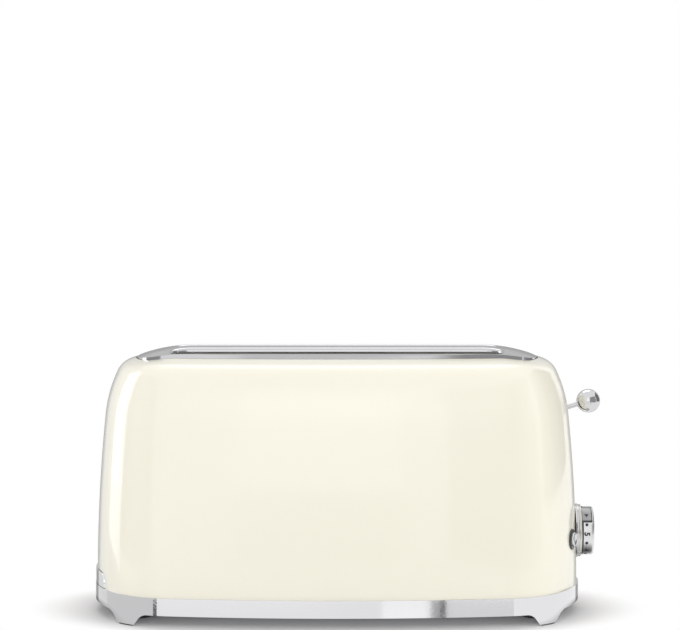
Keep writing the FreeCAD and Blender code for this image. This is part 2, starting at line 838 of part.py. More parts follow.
foot_names = ("foot_front_right", "foot_rear_right", "foot_front_left", "foot_rear_left")
for name, shape in zip(foot_names, mirrored(foot_pad())):
    finish(coded(name, shape), name)


def base_pan():
    edge = number("ring_wall + pan_clearance")
    low, sheet_metal = number("pan_bottom"), number("pan_sheet")
    high = number("ring_top - flange_thickness")
    pan = plan_prism(edge, low, high).cut(plan_prism(edge + sheet_metal, low + sheet_metal, high + 1))
    spot = Vector(number("boss_x"), -number("boss_y"), low)
    hole = Part.makeCylinder(number("screw_radius + screw_clearance"), sheet_metal, spot)
    for tool in mirrored(hole):
        pan = pan.cut(tool)
    spot = Vector(number("gland_x"), number("gland_y"), low)
    pan = pan.cut(Part.makeCylinder(number("gland_radius + screw_clearance"), sheet_metal, spot))
    length, width, pitch = number("vent_length"), number("vent_width"), number("vent_pitch")
    rows = int(number("boss_x") / pitch)
    for row in range(-rows // 2 + 1, rows // 2 + 1):
        vent = Part.makeBox(width, length, sheet_metal, Vector(row * pitch - width / 2, -length / 2, low))
        pan = pan.cut(vent)
    return pan


finish(coded("base_pan", base_pan()), "base_pan")

screws = []
for side_x in (-1, 1):
    for side_y in (-1, 1):
        place = (f"{side_x} * boss_x", f"{side_y} * boss_y")
        head = cylinder((*place, "pan_bottom - screw_head_height"), "screw_head_radius", "screw_head_height")
        shank = cylinder((*place, "pan_bottom - screw_head_height"), "screw_radius",
                         "screw_tip - pan_bottom + screw_head_height")
        screws.append(fuse([head, shank]))
finish(group(screws), "base_screws")

gland = new_body("cord_gland")
pad(gland, "gland_flange - gland_radius", offset="pan_bottom - gland_flange + gland_radius",
    circles=[("gland_x", "gland_y", "gland_flange")])
pad(gland, "gland_height", offset="pan_bottom", circles=[("gland_x", "gland_y", "gland_radius")])
pocket(gland, "gland_height + gland_flange", offset="pan_bottom",
       circles=[("gland_x", "gland_y", "gland_bore")])

# ---------------------------------------------------------------- chassis

plate_outline = [
    ("-plate_half_width", "pan_top"),
    ("plate_half_width", "pan_top"),
    ("plate_half_width", "plate_top - plate_chamfer"),
    ("plate_half_width - plate_chamfer", "plate_top"),
    ("plate_chamfer - plate_half_width", "plate_top"),
    ("-plate_half_width", "plate_top - plate_chamfer"),
]
pivots = [
    (f"{side} * slot_centre + {hand} * guard_reach", "guard_pivot", "guard_rod + pivot_clearance")
    for side in (-1, 1) for hand in (-1, 1)
]
left_plate = plate("left_end_plate", "plate_sheet", "YZ_Plane", "-plate_out", plate_outline)
pocket(left_plate, "2 * plate_sheet", "YZ_Plane", "-plate_x", circles=pivots)
pocket(left_plate, "2 * plate_sheet", "YZ_Plane", "-plate_x", polygons=[
    rectangle("-tray_half_width - tray_clearance", "tray_half_width + tray_clearance",
              "tray_floor - tray_gap", "tray_floor + tray_height + tray_clearance")])
right_plate = plate("right_end_plate", "plate_sheet", "YZ_Plane", "plate_x", plate_outline)
pocket(right_plate, "2 * plate_sheet", "YZ_Plane", "plate_x", circles=pivots)
pocket(right_plate, "2 * plate_sheet", "YZ_Plane", "plate_x", polygons=[
    rectangle(f"{side} * slot_centre - rack_sheet / 2 - rack_slot_clearance",
              f"{side} * slot_centre + rack_sheet / 2 + rack_slot_clearance",
              "rack_top - rack_height - lever_travel - rack_slot_clearance",
              "rack_top + rack_slot_clearance")
    for side in (-1, 1)])

for name, low, high in (("front_reflector", "-reflector_y - reflector_sheet", "-reflector_y"),
                        ("rear_reflector", "reflector_y", "reflector_y + reflector_sheet")):
    plate(name, "reflector_top - reflector_bottom", "XY_Plane", "reflector_bottom",
          rectangle("-plate_x", "plate_x", low, high))

plate("top_brace", "2 * plate_x", "YZ_Plane", "-plate_x", [
    ("-brace_half_width", "plate_top - brace_height"),
    ("-brace_half_width + brace_wall", "plate_top - brace_height"),
    ("-brace_half_width + brace_wall", "plate_top - brace_wall"),
    ("brace_half_width - brace_wall", "plate_top - brace_wall"),
    ("brace_half_width - brace_wall", "plate_top - brace_height"),
    ("brace_half_width", "plate_top - brace_height"),
    ("brace_half_width", "plate_top"),
    ("-brace_half_width", "plate_top"),
])

# ---------------------------------------------------------------- heaters

CARD = [
    ("-plate_x", "heater_bottom"),
    ("plate_x", "heater_bottom"),
    ("plate_x", "heater_bottom + mica_tab"),
    ("winding_half_length", "heater_bottom + mica_tab"),
    ("winding_half_length", "heater_top - mica_tab"),
    ("plate_x", "heater_top - mica_tab"),
    ("plate_x", "heater_top"),
    ("-plate_x", "heater_top"),
    ("-plate_x", "heater_top - mica_tab"),
    ("-winding_half_length", "heater_top - mica_tab"),
    ("-winding_half_length", "heater_bottom + mica_tab"),
    ("-plate_x", "heater_bottom + mica_tab"),
]
for name, side in (("front", -1), ("centre", 0), ("rear", 1)):
    middle = f"{side} * heater_y"
    plate(f"{name}_heater_board", "mica_sheet", "XZ_Plane", f"-({middle}) - mica_sheet / 2", CARD)
    winding = new_body(f"{name}_heater_winding")
    near = f"{middle} - mica_sheet / 2"
    far = f"{middle} + mica_sheet / 2"
    first = "heater_bottom + winding_rise"
    turn = pad(winding, "ribbon_width", offset=first, polygons=[
        rectangle("-winding_half_length - winding_sheet", "winding_half_length + winding_sheet",
                  f"{near} - winding_sheet", f"{far} + winding_sheet"),
        rectangle("-winding_half_length", "winding_half_length", near, far)])
    link = pad(winding, "ribbon_pitch", offset=first, polygons=[
        rectangle("winding_half_length", "winding_half_length + winding_sheet", near, far)])
    repeat(winding, [turn, link], "ribbon_turns", "(ribbon_turns - 1) * ribbon_pitch", "Z_Axis")

# ---------------------------------------------------------------- bread guards

guard_names = {
    (-1, -1): "front_outer_guard",
    (-1, 1): "front_inner_guard",
    (1, -1): "rear_inner_guard",
    (1, 1): "rear_outer_guard",
}
for (side, hand), name in guard_names.items():
    middle = f"{side} * slot_centre + {hand} * guard_reach"
    wires = [
        cylinder(("-plate_out", middle, "guard_pivot"), "guard_rod", "2 * plate_out", ALONG),
        cylinder(("-guard_half_length", middle, "guard_top"), "guard_rod", "2 * guard_half_length", ALONG),
    ]
    count = int(number("guard_wires"))
    for index in range(count):
        x = f"guard_half_length * {2 * index + 1 - count} / {count}"
        wires.append(cylinder((x, middle, "guard_pivot"), "guard_wire", "guard_top - guard_pivot"))
    finish(fuse(wires), name)

# ---------------------------------------------------------------- lever and carriage

rod = new_body("guide_rod")
pad(rod, "plate_top - bracket_sheet - pan_top", offset="pan_top", circles=[("rod_x", "0", "rod_radius")])

plate("rod_bracket", "bracket_sheet", "XY_Plane", "plate_top - bracket_sheet",
      rectangle("plate_out", "rod_x + bracket_overhang",
                "-bracket_half_width", "spring_y + bracket_half_width"))

carriage = plate("carriage_plate", "carriage_sheet", "YZ_Plane", "carriage_x", [
    ("-carriage_half_width", "carriage_bottom"),
    ("carriage_half_width", "carriage_bottom"),
    ("carriage_half_width", "carriage_top"),
    ("carriage_neck", "carriage_top"),
    ("carriage_neck", "bush_top"),
    ("-carriage_neck", "bush_top"),
    ("-carriage_neck", "carriage_top"),
    ("-carriage_half_width", "carriage_top"),
])
pad(carriage, "carriage_sheet", offset="keeper_top", polygons=[
    rectangle("carriage_x", "keeper_x + keeper_half_length",
              "keeper_y - keeper_half_width", "keeper_y + keeper_half_width")])
pad(carriage, "carriage_sheet", offset="keeper_top", polygons=[
    rectangle("carriage_x", "rod_x + spring_hook", "spring_y - spring_hook", "spring_y + spring_hook")])

bush = new_body("carriage_bush")
pad(bush, "bush_top - bush_bottom", offset="bush_bottom", circles=[("rod_x", "0", "bush_radius")])
pad(bush, "bush_top - bush_bottom", offset="bush_bottom", polygons=[
    rectangle("carriage_out", "rod_x + bush_radius + lever_block", "-bush_flat", "bush_flat")])
pocket(bush, "bush_top", offset="bush_top", circles=[("rod_x", "0", "rod_radius + bush_clearance")])

plate("keeper_plate", "keeper_sheet", "XY_Plane", "keeper_top - keeper_sheet",
      rectangle("keeper_x - keeper_half_length", "keeper_x + keeper_half_length",
                "keeper_y - keeper_half_width", "keeper_y + keeper_half_width"))

arm_way = Vector(math.cos(math.radians(number("arm_angle"))), 0, math.sin(math.radians(number("arm_angle"))))
arm_foot = ("rod_x", "0", "ball_height - (ball_x - rod_x) * tan(arm_angle)")
arm_length = "(ball_x - rod_x) / cos(arm_angle) - ball_radius + arm_in_ball"
arm_rod = cylinder(arm_foot, "arm_radius", arm_length, arm_way)
arm_trim = "rod_x + bush_radius + lever_block - carriage_x"
arm_end = box(("carriage_x", "-bush_radius", "bush_bottom"),
              (arm_trim, "2 * bush_radius", "ball_height - bush_bottom"))
finish(cut(arm_rod, arm_end), "lever_arm")

ball = doc.addObject("Part::Sphere", "Ball")
bind(ball, "Radius", "ball_radius")
bind(ball, "Placement.Base.x", "ball_x")
bind(ball, "Placement.Base.z", "ball_height")
finish(cut(ball, arm_rod), "lever_ball")

for name, side in (("front_bread_rack", -1), ("rear_bread_rack", 1)):
    middle = f"{side} * slot_centre"
    rack = plate(name, "rack_height", "XY_Plane", "rack_top - rack_height",
                 rectangle("-rack_half_length", "carriage_x",
                           f"{middle} - rack_sheet / 2", f"{middle} + rack_sheet / 2"))
    bar = pad(rack, "rack_bar_height", offset="rack_top", polygons=[
        rectangle("-rack_half_length", "-rack_half_length + rack_bar_width",
                  f"{middle} - rack_bar_half_width", f"{middle} + rack_bar_half_width")])
    repeat(rack, [bar], "rack_bars", "2 * rack_half_length - rack_bar_width", "X_Axis")


def return_spring():
    """Extension spring from the carriage's tab up to the rod bracket."""
    wire = number("spring_wire")
    low = number("keeper_top + carriage_sheet") + wire
    high = number("plate_top - bracket_sheet") - wire
    spot = Vector(number("rod_x"), number("spring_y"), low)
    helix = Part.makeHelix((high - low) / number("spring_turns"), high - low, number("spring_radius"))
    section = Part.Wire(Part.makeCircle(wire, Vector(number("spring_radius"), 0, 0), ACROSS))
    coil = Part.Wire(helix.Edges).makePipeShell([section], True, True)
    place = FreeCAD.Matrix()
    place.move(spot)
    return coil.transformed(place, True)


finish(coded("return_spring", return_spring()), "return_spring")

core = plate("magnet_core", "magnet_top - pan_top", "XY_Plane", "pan_top",
             rectangle("keeper_x - core_half_length", "keeper_x + core_half_length",
                       "keeper_y - core_half_width", "keeper_y + core_half_width"))
inner = rectangle("keeper_x - core_half_length - coil_clearance",
                  "keeper_x + core_half_length + coil_clearance",
                  "keeper_y - core_half_width - coil_clearance",
                  "keeper_y + core_half_width + coil_clearance")
outer = [(f"{x} {sign_x} coil_wall", f"{y} {sign_y} coil_wall")
         for (x, y), (sign_x, sign_y) in zip(inner, ("--", "+-", "++", "-+"))]
plate("magnet_coil", "coil_top - coil_bottom", "XY_Plane", "coil_bottom", outer, inner)

# ---------------------------------------------------------------- crumb tray

def crumb_tray():
    edge = number("tray_front_inset + tray_front_depth")
    wall, low, tall = number("tray_wall"), number("tray_floor"), number("tray_height")
    half, left, right = number("tray_half_width"), -number("half_length"), number("tray_right")
    block = Part.makeBox(right - left, 2 * half, tall, Vector(left, -half, low))
    block = block.common(plan_prism(edge, low, low + tall))
    hollow = Part.makeBox(right - wall - left, 2 * (half - wall), tall, Vector(left, wall - half, low + wall))
    return block.cut(hollow.common(plan_prism(edge + wall, low + wall, low + 2 * tall)))


def crumb_tray_front():
    edge, depth = number("tray_front_inset"), number("tray_front_depth")
    ring = plan_ring(edge, edge + depth, number("ring_top + tray_gap"), number("tray_front_top"))
    return ring.common(tray_doorway(0))


finish(coded("crumb_tray", crumb_tray()), "crumb_tray")
finish(coded("crumb_tray_front", crumb_tray_front()), "crumb_tray_front")

rails = new_body("crumb_tray_rails", groups=True)
for side in ("-1", "1"):
    near = "(tray_half_width + tray_clearance)"
    pad(rails, "2 * plate_x", "YZ_Plane", "-plate_x", polygons=[[
        (f"{side} * {near}", "pan_top"),
        (f"{side} * ({near} + rail_sheet)", "pan_top"),
        (f"{side} * ({near} + rail_sheet)", "tray_top"),
        (f"{side} * {near}", "tray_top"),
        (f"{side} * {near}", "tray_floor - tray_gap"),
        (f"{side} * ({near} - rail_ledge)", "tray_floor - tray_gap"),
        (f"{side} * ({near} - rail_ledge)", "tray_floor - tray_gap - rail_sheet"),
        (f"{side} * {near}", "tray_floor - tray_gap - rail_sheet"),
    ]])

# ---------------------------------------------------------------- browning control

bezel_foot = ("half_length - form_depth", "0", "knob_height")
bezel = cylinder(bezel_foot, "bezel_radius", "form_depth + bezel_reach", ALONG)
recess = cylinder(("half_length", "0", "knob_height"), "bezel_bore", "bezel_reach", ALONG)
passage = cylinder(bezel_foot, "shaft_radius + shaft_clearance", "form_depth + bezel_reach", ALONG)
finish(cut(bezel, body_form, recess, passage), "knob_bezel")

knob = new_body("knob_drum")
pad(knob, "knob_reach - knob_gap", "YZ_Plane", "knob_back", circles=[("0", "knob_height", "knob_radius")])
pocket(knob, "knob_reach - knob_gap - knob_face", "YZ_Plane", "knob_back",
       circles=[("0", "knob_height", "knob_radius - knob_wall")])
hub = pad(knob, "knob_reach - knob_gap - knob_face", "YZ_Plane", "knob_back",
          circles=[("0", "knob_height", "hub_radius")])
bored = pocket(knob, "knob_reach - knob_gap - knob_face", "YZ_Plane", "knob_back",
               circles=[("0", "knob_height", "shaft_radius + shaft_fit")])
rims = [
    f"Edge{index}" for index, edge in enumerate(bored.Shape.Edges, start=1)
    if isinstance(edge.Curve, Part.Circle) and abs(edge.Curve.Radius - number("knob_radius")) < 0.01
    and edge.Curve.Center.x > number("knob_front") - 0.01
]
softened = knob.newObject("PartDesign::Fillet", "Fillet")
softened.Base = (bored, rims)
bind(softened, "Radius", "knob_edge")

index_start = "knob_front - knob_edge - index_margin - index_width"
tile = cylinder((index_start, "0", "knob_height"), "knob_radius + index_height", "index_width", ALONG)
bind(tile, "Angle", "index_span")
tile.Placement.Rotation = Rotation(ALONG, 180 - number("index_low + index_span")).multiply(Rotation(
    Vector(0, 1, 0), Vector(0, 0, 1), Vector(1, 0, 0), "ZXY"))
drum = cylinder((index_start, "0", "knob_height"), "knob_radius", "index_width", ALONG)
finish(cut(tile, drum), "knob_index")

shaft = new_body("knob_shaft")
pad(shaft, "knob_front - knob_face - board_face - board_sheet", "YZ_Plane", "board_face + board_sheet",
    circles=[("0", "knob_height", "shaft_radius")])

pot = plate("potentiometer", "pot_depth", "YZ_Plane", "board_face",
            rectangle("-pot_half_width", "pot_half_width",
                      "knob_height - pot_half_width", "knob_height + pot_half_width"))
pocket(pot, "pot_depth - board_sheet", "YZ_Plane", "board_face + pot_depth",
       circles=[("0", "knob_height", "shaft_radius + bush_clearance")])

# ---------------------------------------------------------------- buttons

def button_round(side, start, stop, radius):
    """Cylinder on a button's axis, from start to stop outwards from the shell's face."""
    spot, normal = button_axis(side)
    length = number(f"{stop} - ({start})")
    return Part.makeCylinder(number(radius), length, spot + normal * number(start), normal)


for name, side in (("cancel_button", -1), ("defrost_button", 1)):
    cap = button_round(side, "-button_depth", "button_proud", "button_radius")
    stem = button_round(side, "-button_stem_end", "-button_depth", "button_stem")
    finish(coded(name, cap.fuse(stem).removeSplitter()), name)
    surround = button_round(side, "-button_trim_depth", "button_trim_proud", "button_trim_radius")
    surround = surround.cut(button_round(side, "-button_trim_depth", "button_trim_proud", "button_bore"))
    finish(coded(f"{name}_bezel", surround.cut(body_form.Shape)), f"{name}_bezel")

# ---------------------------------------------------------------- control board

plate("control_board", "board_sheet", "YZ_Plane", "board_back",
      rectangle("-board_half_width", "board_half_width", "board_bottom", "board_top"))
posts = new_body("board_posts", groups=True)
pad(posts, "board_top - pan_top", offset="pan_top", polygons=[
    rectangle("board_back - post_depth", "board_back", "board_half_width - post_width", "board_half_width"),
    rectangle("board_back - post_depth", "board_back", "-board_half_width", "post_width - board_half_width")])
switches = new_body("button_switches", groups=True)
pad(switches, "switch_depth", "YZ_Plane", "board_face", polygons=[
    rectangle(f"{side} * switch_y - switch_half_width", f"{side} * switch_y + switch_half_width",
              "button_height - switch_half_width", "button_height + switch_half_width")
    for side in (-1, 1)])
parts_on_board = new_body("board_components", groups=True)
pad(parts_on_board, "component_depth", "YZ_Plane", "board_face", polygons=[
    rectangle("pot_half_width", "pot_half_width + relay_width",
              "board_bottom + relay_rise", "board_bottom + relay_rise + relay_height")
], circles=[
    (f"-{place} * capacitor_pitch", "board_bottom + capacitor_rise", "capacitor_radius")
    for place in (1, 2)])

terminal = plate("terminal_block", "terminal_height", "XY_Plane", "pan_top",
                 rectangle("terminal_x - terminal_length / 2", "terminal_x + terminal_length / 2",
                           "terminal_y - terminal_width / 2", "terminal_y + terminal_width / 2"))
ways = int(number("terminal_ways"))
pocket(terminal, "terminal_width + terminal_y", "XZ_Plane", "-terminal_y", circles=[
    (f"terminal_x + terminal_length * {2 * way + 1 - ways} / {2 * ways}",
     "pan_top + terminal_height / 2", "terminal_bore")
    for way in range(ways)])

# ---------------------------------------------------------------- check and write

doc.recompute()
for item in doc.Objects:
    if "Invalid" in item.State or "Error" in item.State:
        raise RuntimeError(f"{item.Label} failed to rebuild: {item.State}")
os.makedirs("parts", exist_ok=True)
for item in pieces:
    if item.Shape.isNull() or not item.Shape.isValid():
        raise RuntimeError(f"{item.Label} has no valid shape")
    item.Shape.exportStep(f"parts/{item.Label}.step")
    print(f"{item.Label}: {len(item.Shape.Solids)} solids, {item.Shape.Volume:.0f} mm3")
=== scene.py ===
# %% [markdown]
# # A pop up toaster with two long slots
# The toaster is a painted steel body on a silver base ring, with a polished steel top, a lever that ends in
# a ball, a browning knob, two push buttons and a crumb tray. Its working pieces come ready made from the
# CAD model. This lesson makes the faces that people see: it models them again with smooth surfaces, gives
# every piece a finish, and builds a small studio round the toaster.

# %% Load the CAD model as a fixed frame
import json
import math

import bpy
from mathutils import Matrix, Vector


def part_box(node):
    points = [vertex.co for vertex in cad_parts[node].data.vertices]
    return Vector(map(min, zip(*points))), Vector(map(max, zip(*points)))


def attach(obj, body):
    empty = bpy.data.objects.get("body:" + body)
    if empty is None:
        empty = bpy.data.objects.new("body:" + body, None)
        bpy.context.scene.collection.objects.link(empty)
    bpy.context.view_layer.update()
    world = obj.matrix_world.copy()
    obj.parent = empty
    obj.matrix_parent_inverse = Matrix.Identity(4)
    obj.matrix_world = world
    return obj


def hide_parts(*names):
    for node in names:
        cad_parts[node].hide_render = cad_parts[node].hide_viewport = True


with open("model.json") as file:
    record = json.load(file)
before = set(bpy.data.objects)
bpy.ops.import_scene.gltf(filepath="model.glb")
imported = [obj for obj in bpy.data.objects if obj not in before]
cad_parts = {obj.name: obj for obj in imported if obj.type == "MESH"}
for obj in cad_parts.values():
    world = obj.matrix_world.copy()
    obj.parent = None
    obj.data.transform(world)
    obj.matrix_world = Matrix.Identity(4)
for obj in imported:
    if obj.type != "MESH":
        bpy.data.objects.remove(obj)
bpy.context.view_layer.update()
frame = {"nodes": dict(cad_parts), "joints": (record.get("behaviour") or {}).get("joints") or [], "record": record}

# %% [markdown]
# ## Measures
# All lengths are metres, in the CAD model's own frame: X runs along the toaster towards the lever, the front
# faces -Y and Z is up. Where a CAD piece has the size already, it is read from that piece. Only radii and
# small steps, which no box can tell, are written here.

# %% Read the main measures from the frame
MM = 0.001
NEAR = 0.01 * MM                             # two places closer than this are the same
UP = Vector((0, 0, 1))
ring_low, ring_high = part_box("base_ring")
MIDDLE = (ring_low.x + ring_high.x) / 2      # the body's own centre, left of the origin
HALF_LENGTH = (ring_high.x - ring_low.x) / 2
HALF_DEPTH = ring_high.y
LEG_FOOT, RING_TOP = ring_low.z, ring_high.z
CROWN_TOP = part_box("top_panel")[1].z
END_RADIUS, CORNER_RADIUS, FRONT_RADIUS = 120 * MM, 62 * MM, 900 * MM
RING_BOTTOM = 9.8 * MM
SHELL_INSET = 1.5 * MM
PANEL_EDGE = SHELL_INSET + 33 * MM
PANEL_SQUEEZE = 10.5 * MM                    # the panel's sides lie this much further in than its ends
PANEL_GAP = 0.8 * MM
PANEL_RIM = 5 * MM                           # depth of its turned-down rim
print("body", [round(2000 * v) for v in (HALF_LENGTH, HALF_DEPTH)], "mm, crown at", round(CROWN_TOP / MM, 1))

# %% [markdown]
# ## Hands for the modelling
# An operator works on whatever is selected, as a hand would, so each step starts by letting go of
# everything. These few helpers do that, switch between object and edit mode, pick points or faces by their
# place, and apply modifiers. Selecting by a rule keeps the steps right when a measure changes.

# %% Helpers for selecting and applying
def let_go():
    if bpy.context.object and bpy.context.object.mode != "OBJECT":
        bpy.ops.object.mode_set(mode="OBJECT")
    bpy.ops.object.select_all(action="DESELECT")


def take(piece, *others):
    """Selects pieces, with the first one active."""
    let_go()
    for item in (piece, *others):
        item.select_set(True)
    bpy.context.view_layer.objects.active = piece
    return piece


def edit(piece, kind="VERT"):
    take(piece)
    bpy.ops.object.mode_set(mode="EDIT")
    bpy.ops.mesh.select_mode(type=kind)
    bpy.ops.mesh.select_all(action="DESELECT")


def done(piece=None):
    bpy.ops.object.mode_set(mode="OBJECT")
    return piece


def pick_all():
    bpy.ops.mesh.select_all(action="SELECT")


def pull(step):
    """Extrudes the selection by a step."""
    bpy.ops.mesh.extrude_region_move(TRANSFORM_OT_translate={"value": step})


def weld(reach=1e-6):
    bpy.ops.mesh.remove_doubles(threshold=reach)


def pick(piece, rule, kind="VERT"):
    """In edit mode, selects the points, edges or faces that pass the rule."""
    bpy.ops.mesh.select_all(action="DESELECT")
    bpy.ops.object.mode_set(mode="OBJECT")
    points = piece.data.vertices
    if kind == "FACE":
        for face in piece.data.polygons:
            face.select = rule(face)
    elif kind == "EDGE":
        for line in piece.data.edges:
            line.select = rule(*(points[end].co for end in line.vertices))
    else:
        for point in points:
            point.select = rule(point.co)
    bpy.ops.object.mode_set(mode="EDIT")
    bpy.ops.mesh.select_mode(type=kind)


def rename(piece, name):
    piece.name = piece.data.name = name
    return piece


def start(name):
    """Names the primitive that was just added and gives it an unturned, unscaled object at the origin."""
    bpy.ops.object.transform_apply(location=True, rotation=True, scale=True)
    return rename(bpy.context.object, name)


def modify(piece, kind, **settings):
    """Adds a modifier, sets it and applies it at once."""
    take(piece)
    bpy.ops.object.modifier_add(type=kind)
    modifier = piece.modifiers[-1]
    for key, value in settings.items():
        setattr(modifier, key, value)
    bpy.ops.object.modifier_apply(modifier=modifier.name)


def combine(piece, tool, how="DIFFERENCE", solver="EXACT"):
    """Cuts, joins or crosses a piece with a tool, and throws the tool away."""
    modify(piece, "BOOLEAN", operation=how, object=tool, solver=solver)
    bpy.data.objects.remove(tool)
    return piece


def copy_of(piece, name):
    take(piece)
    bpy.ops.object.duplicate()
    return rename(bpy.context.object, name)


def shade(piece, angle):
    """Shades a piece smooth where its faces meet below an angle."""
    take(piece)
    bpy.ops.object.shade_smooth_by_angle(angle=math.radians(angle))
    return piece


def clean(piece, smooth=35, reach=1e-6):
    """Merges doubled points, turns all faces outwards and shades the piece."""
    edit(piece)
    pick_all()
    weld(reach)
    bpy.ops.mesh.normals_make_consistent(inside=False)
    done()
    return shade(piece, smooth)


def round_edges(piece, rule, radius, segments):
    """Rounds the edges that pass a rule."""
    edit(piece, "EDGE")
    pick(piece, rule, "EDGE")
    bpy.ops.mesh.bevel(offset=radius, segments=segments)
    return done(piece)


def upright(one, two):
    """Rule for the edges that stand up."""
    return abs(one.z - two.z) > MM


def soften(piece, width, segments, angle):
    """Rounds the edges where faces meet above an angle."""
    modify(piece, "BEVEL", width=width, segments=segments, limit_method="ANGLE",
           angle_limit=math.radians(angle))


def dress(piece, finish_name, body, *nodes, slot=None):
    """Gives a finished piece its material, its body and the CAD nodes that it stands for."""
    piece.data.materials.clear()
    piece.data.materials.append(finishes[finish_name])
    if nodes:
        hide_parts(*nodes)
    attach(piece, body)
    print(f"{piece.name}: {len(piece.data.polygons)} faces, {finish_name}, rides on {body}")
    return piece


# %% [markdown]
# ## Finishes: shared effects
# Metal, paint and plastic differ in a few things only: how the colour drifts, how fine the grain is and
# which way it runs. One node group makes the drift of colour and another the grain. Each is built once and
# placed in every material with its own numbers, which is how a maker reuses a recipe. Both read Object
# coordinates, so a pattern stays put on the piece.

# %% Node group helpers
def new_group(name, inputs, outputs):
    group = bpy.data.node_groups.new(name, "ShaderNodeTree")
    for label, kind, value in inputs:
        socket = group.interface.new_socket(label, in_out="INPUT", socket_type=kind)
        socket.default_value = value
    for label, kind in outputs:
        group.interface.new_socket(label, in_out="OUTPUT", socket_type=kind)
    return group, group.nodes.new("NodeGroupInput"), group.nodes.new("NodeGroupOutput")


def node(tree, kind, inputs=(), **settings):
    """Adds a shader node; inputs are (name or number, value or socket to link from)."""
    item = tree.nodes.new(kind)
    for key, value in settings.items():
        setattr(item, key, value)
    for key, value in inputs:
        if isinstance(value, bpy.types.NodeSocket):
            tree.links.new(value, item.inputs[key])
        else:
            item.inputs[key].default_value = value
    return item


# %% Drifting colour
SPECK_SCALE, SPECK_FROM, SPECK_FULL = 900.0, 0.62, 0.72      # only the noise's peaks become specks


def make_drift():
    """Two shades of a colour in soft clouds, with small specks of a third."""
    group, given, result = new_group("drift", [
        ("Colour", "NodeSocketColor", (0.5, 0.5, 0.5, 1)),
        ("Shade", "NodeSocketColor", (0.4, 0.4, 0.4, 1)),
        ("Speck", "NodeSocketColor", (0.2, 0.2, 0.2, 1)),
        ("Cloud size", "NodeSocketFloat", 8.0),
        ("Speck amount", "NodeSocketFloat", 0.0),
    ], [("Colour", "NodeSocketColor")])
    place = node(group, "ShaderNodeTexCoord")
    cloud = node(group, "ShaderNodeTexNoise", [("Vector", place.outputs["Object"]),
                                               ("Scale", given.outputs["Cloud size"]), ("Detail", 4.0)])
    mixed = node(group, "ShaderNodeMix",
                 [(0, cloud.outputs["Fac"]), (6, given.outputs["Colour"]), (7, given.outputs["Shade"])],
                 data_type="RGBA")
    dots = node(group, "ShaderNodeTexNoise",
                [("Vector", place.outputs["Object"]), ("Scale", SPECK_SCALE), ("Detail", 2.0)])
    rare = node(group, "ShaderNodeMapRange",
                [("Value", dots.outputs["Fac"]), ("From Min", SPECK_FROM), ("From Max", SPECK_FULL),
                 ("To Max", given.outputs["Speck amount"])])
    specked = node(group, "ShaderNodeMix",
                   [(0, rare.outputs["Result"]), (6, mixed.outputs[2]), (7, given.outputs["Speck"])],
                   data_type="RGBA")
    group.links.new(specked.outputs[2], result.inputs["Colour"])
    return group


# %% Grain for roughness and bump
HANDLED_SCALE = 25.0                         # wide patches, as handling leaves them


def make_grain():
    """Fine noise, stretched along the way that a sheet was rolled or brushed."""
    group, given, result = new_group("grain", [
        ("Grain size", "NodeSocketFloat", 600.0),
        ("Stretch", "NodeSocketVector", (1, 1, 1)),
        ("Smoothest", "NodeSocketFloat", 0.2),
        ("Roughest", "NodeSocketFloat", 0.4),
    ], [("Roughness", "NodeSocketFloat"), ("Height", "NodeSocketFloat")])
    place = node(group, "ShaderNodeTexCoord")
    stretched = node(group, "ShaderNodeVectorMath",
                     [(0, place.outputs["Object"]), (1, given.outputs["Stretch"])], operation="MULTIPLY")
    noise = node(group, "ShaderNodeTexNoise",
                 [("Vector", stretched.outputs[0]), ("Scale", given.outputs["Grain size"]), ("Detail", 3.0)])
    handled = node(group, "ShaderNodeTexNoise",
                   [("Vector", place.outputs["Object"]), ("Scale", HANDLED_SCALE), ("Detail", 3.0)])
    both = node(group, "ShaderNodeMath",
                [(0, noise.outputs["Fac"]), (1, handled.outputs["Fac"])], operation="MULTIPLY")
    rough = node(group, "ShaderNodeMapRange",
                 [("Value", both.outputs[0]), ("From Min", 0.1), ("From Max", 0.45),
                  ("To Min", given.outputs["Smoothest"]), ("To Max", given.outputs["Roughest"])])
    group.links.new(rough.outputs["Result"], result.inputs["Roughness"])
    group.links.new(noise.outputs["Fac"], result.inputs["Height"])
    return group


drift, grain = make_drift(), make_grain()
print("groups:", drift.name, grain.name)


# %% [markdown]
# ## Finishes: the recipe
# Every finish is the same small tree: drifting colour, grain that feeds roughness and a faint bump, and one
# Principled shader. Plain numbers such as the metal share or the coat go straight onto the shader's own
# sockets. The table after it reads like a shop's finish list.

# %% A function that mixes one finish
finishes = {}
RELIEF_DEPTH = 0.2 * MM


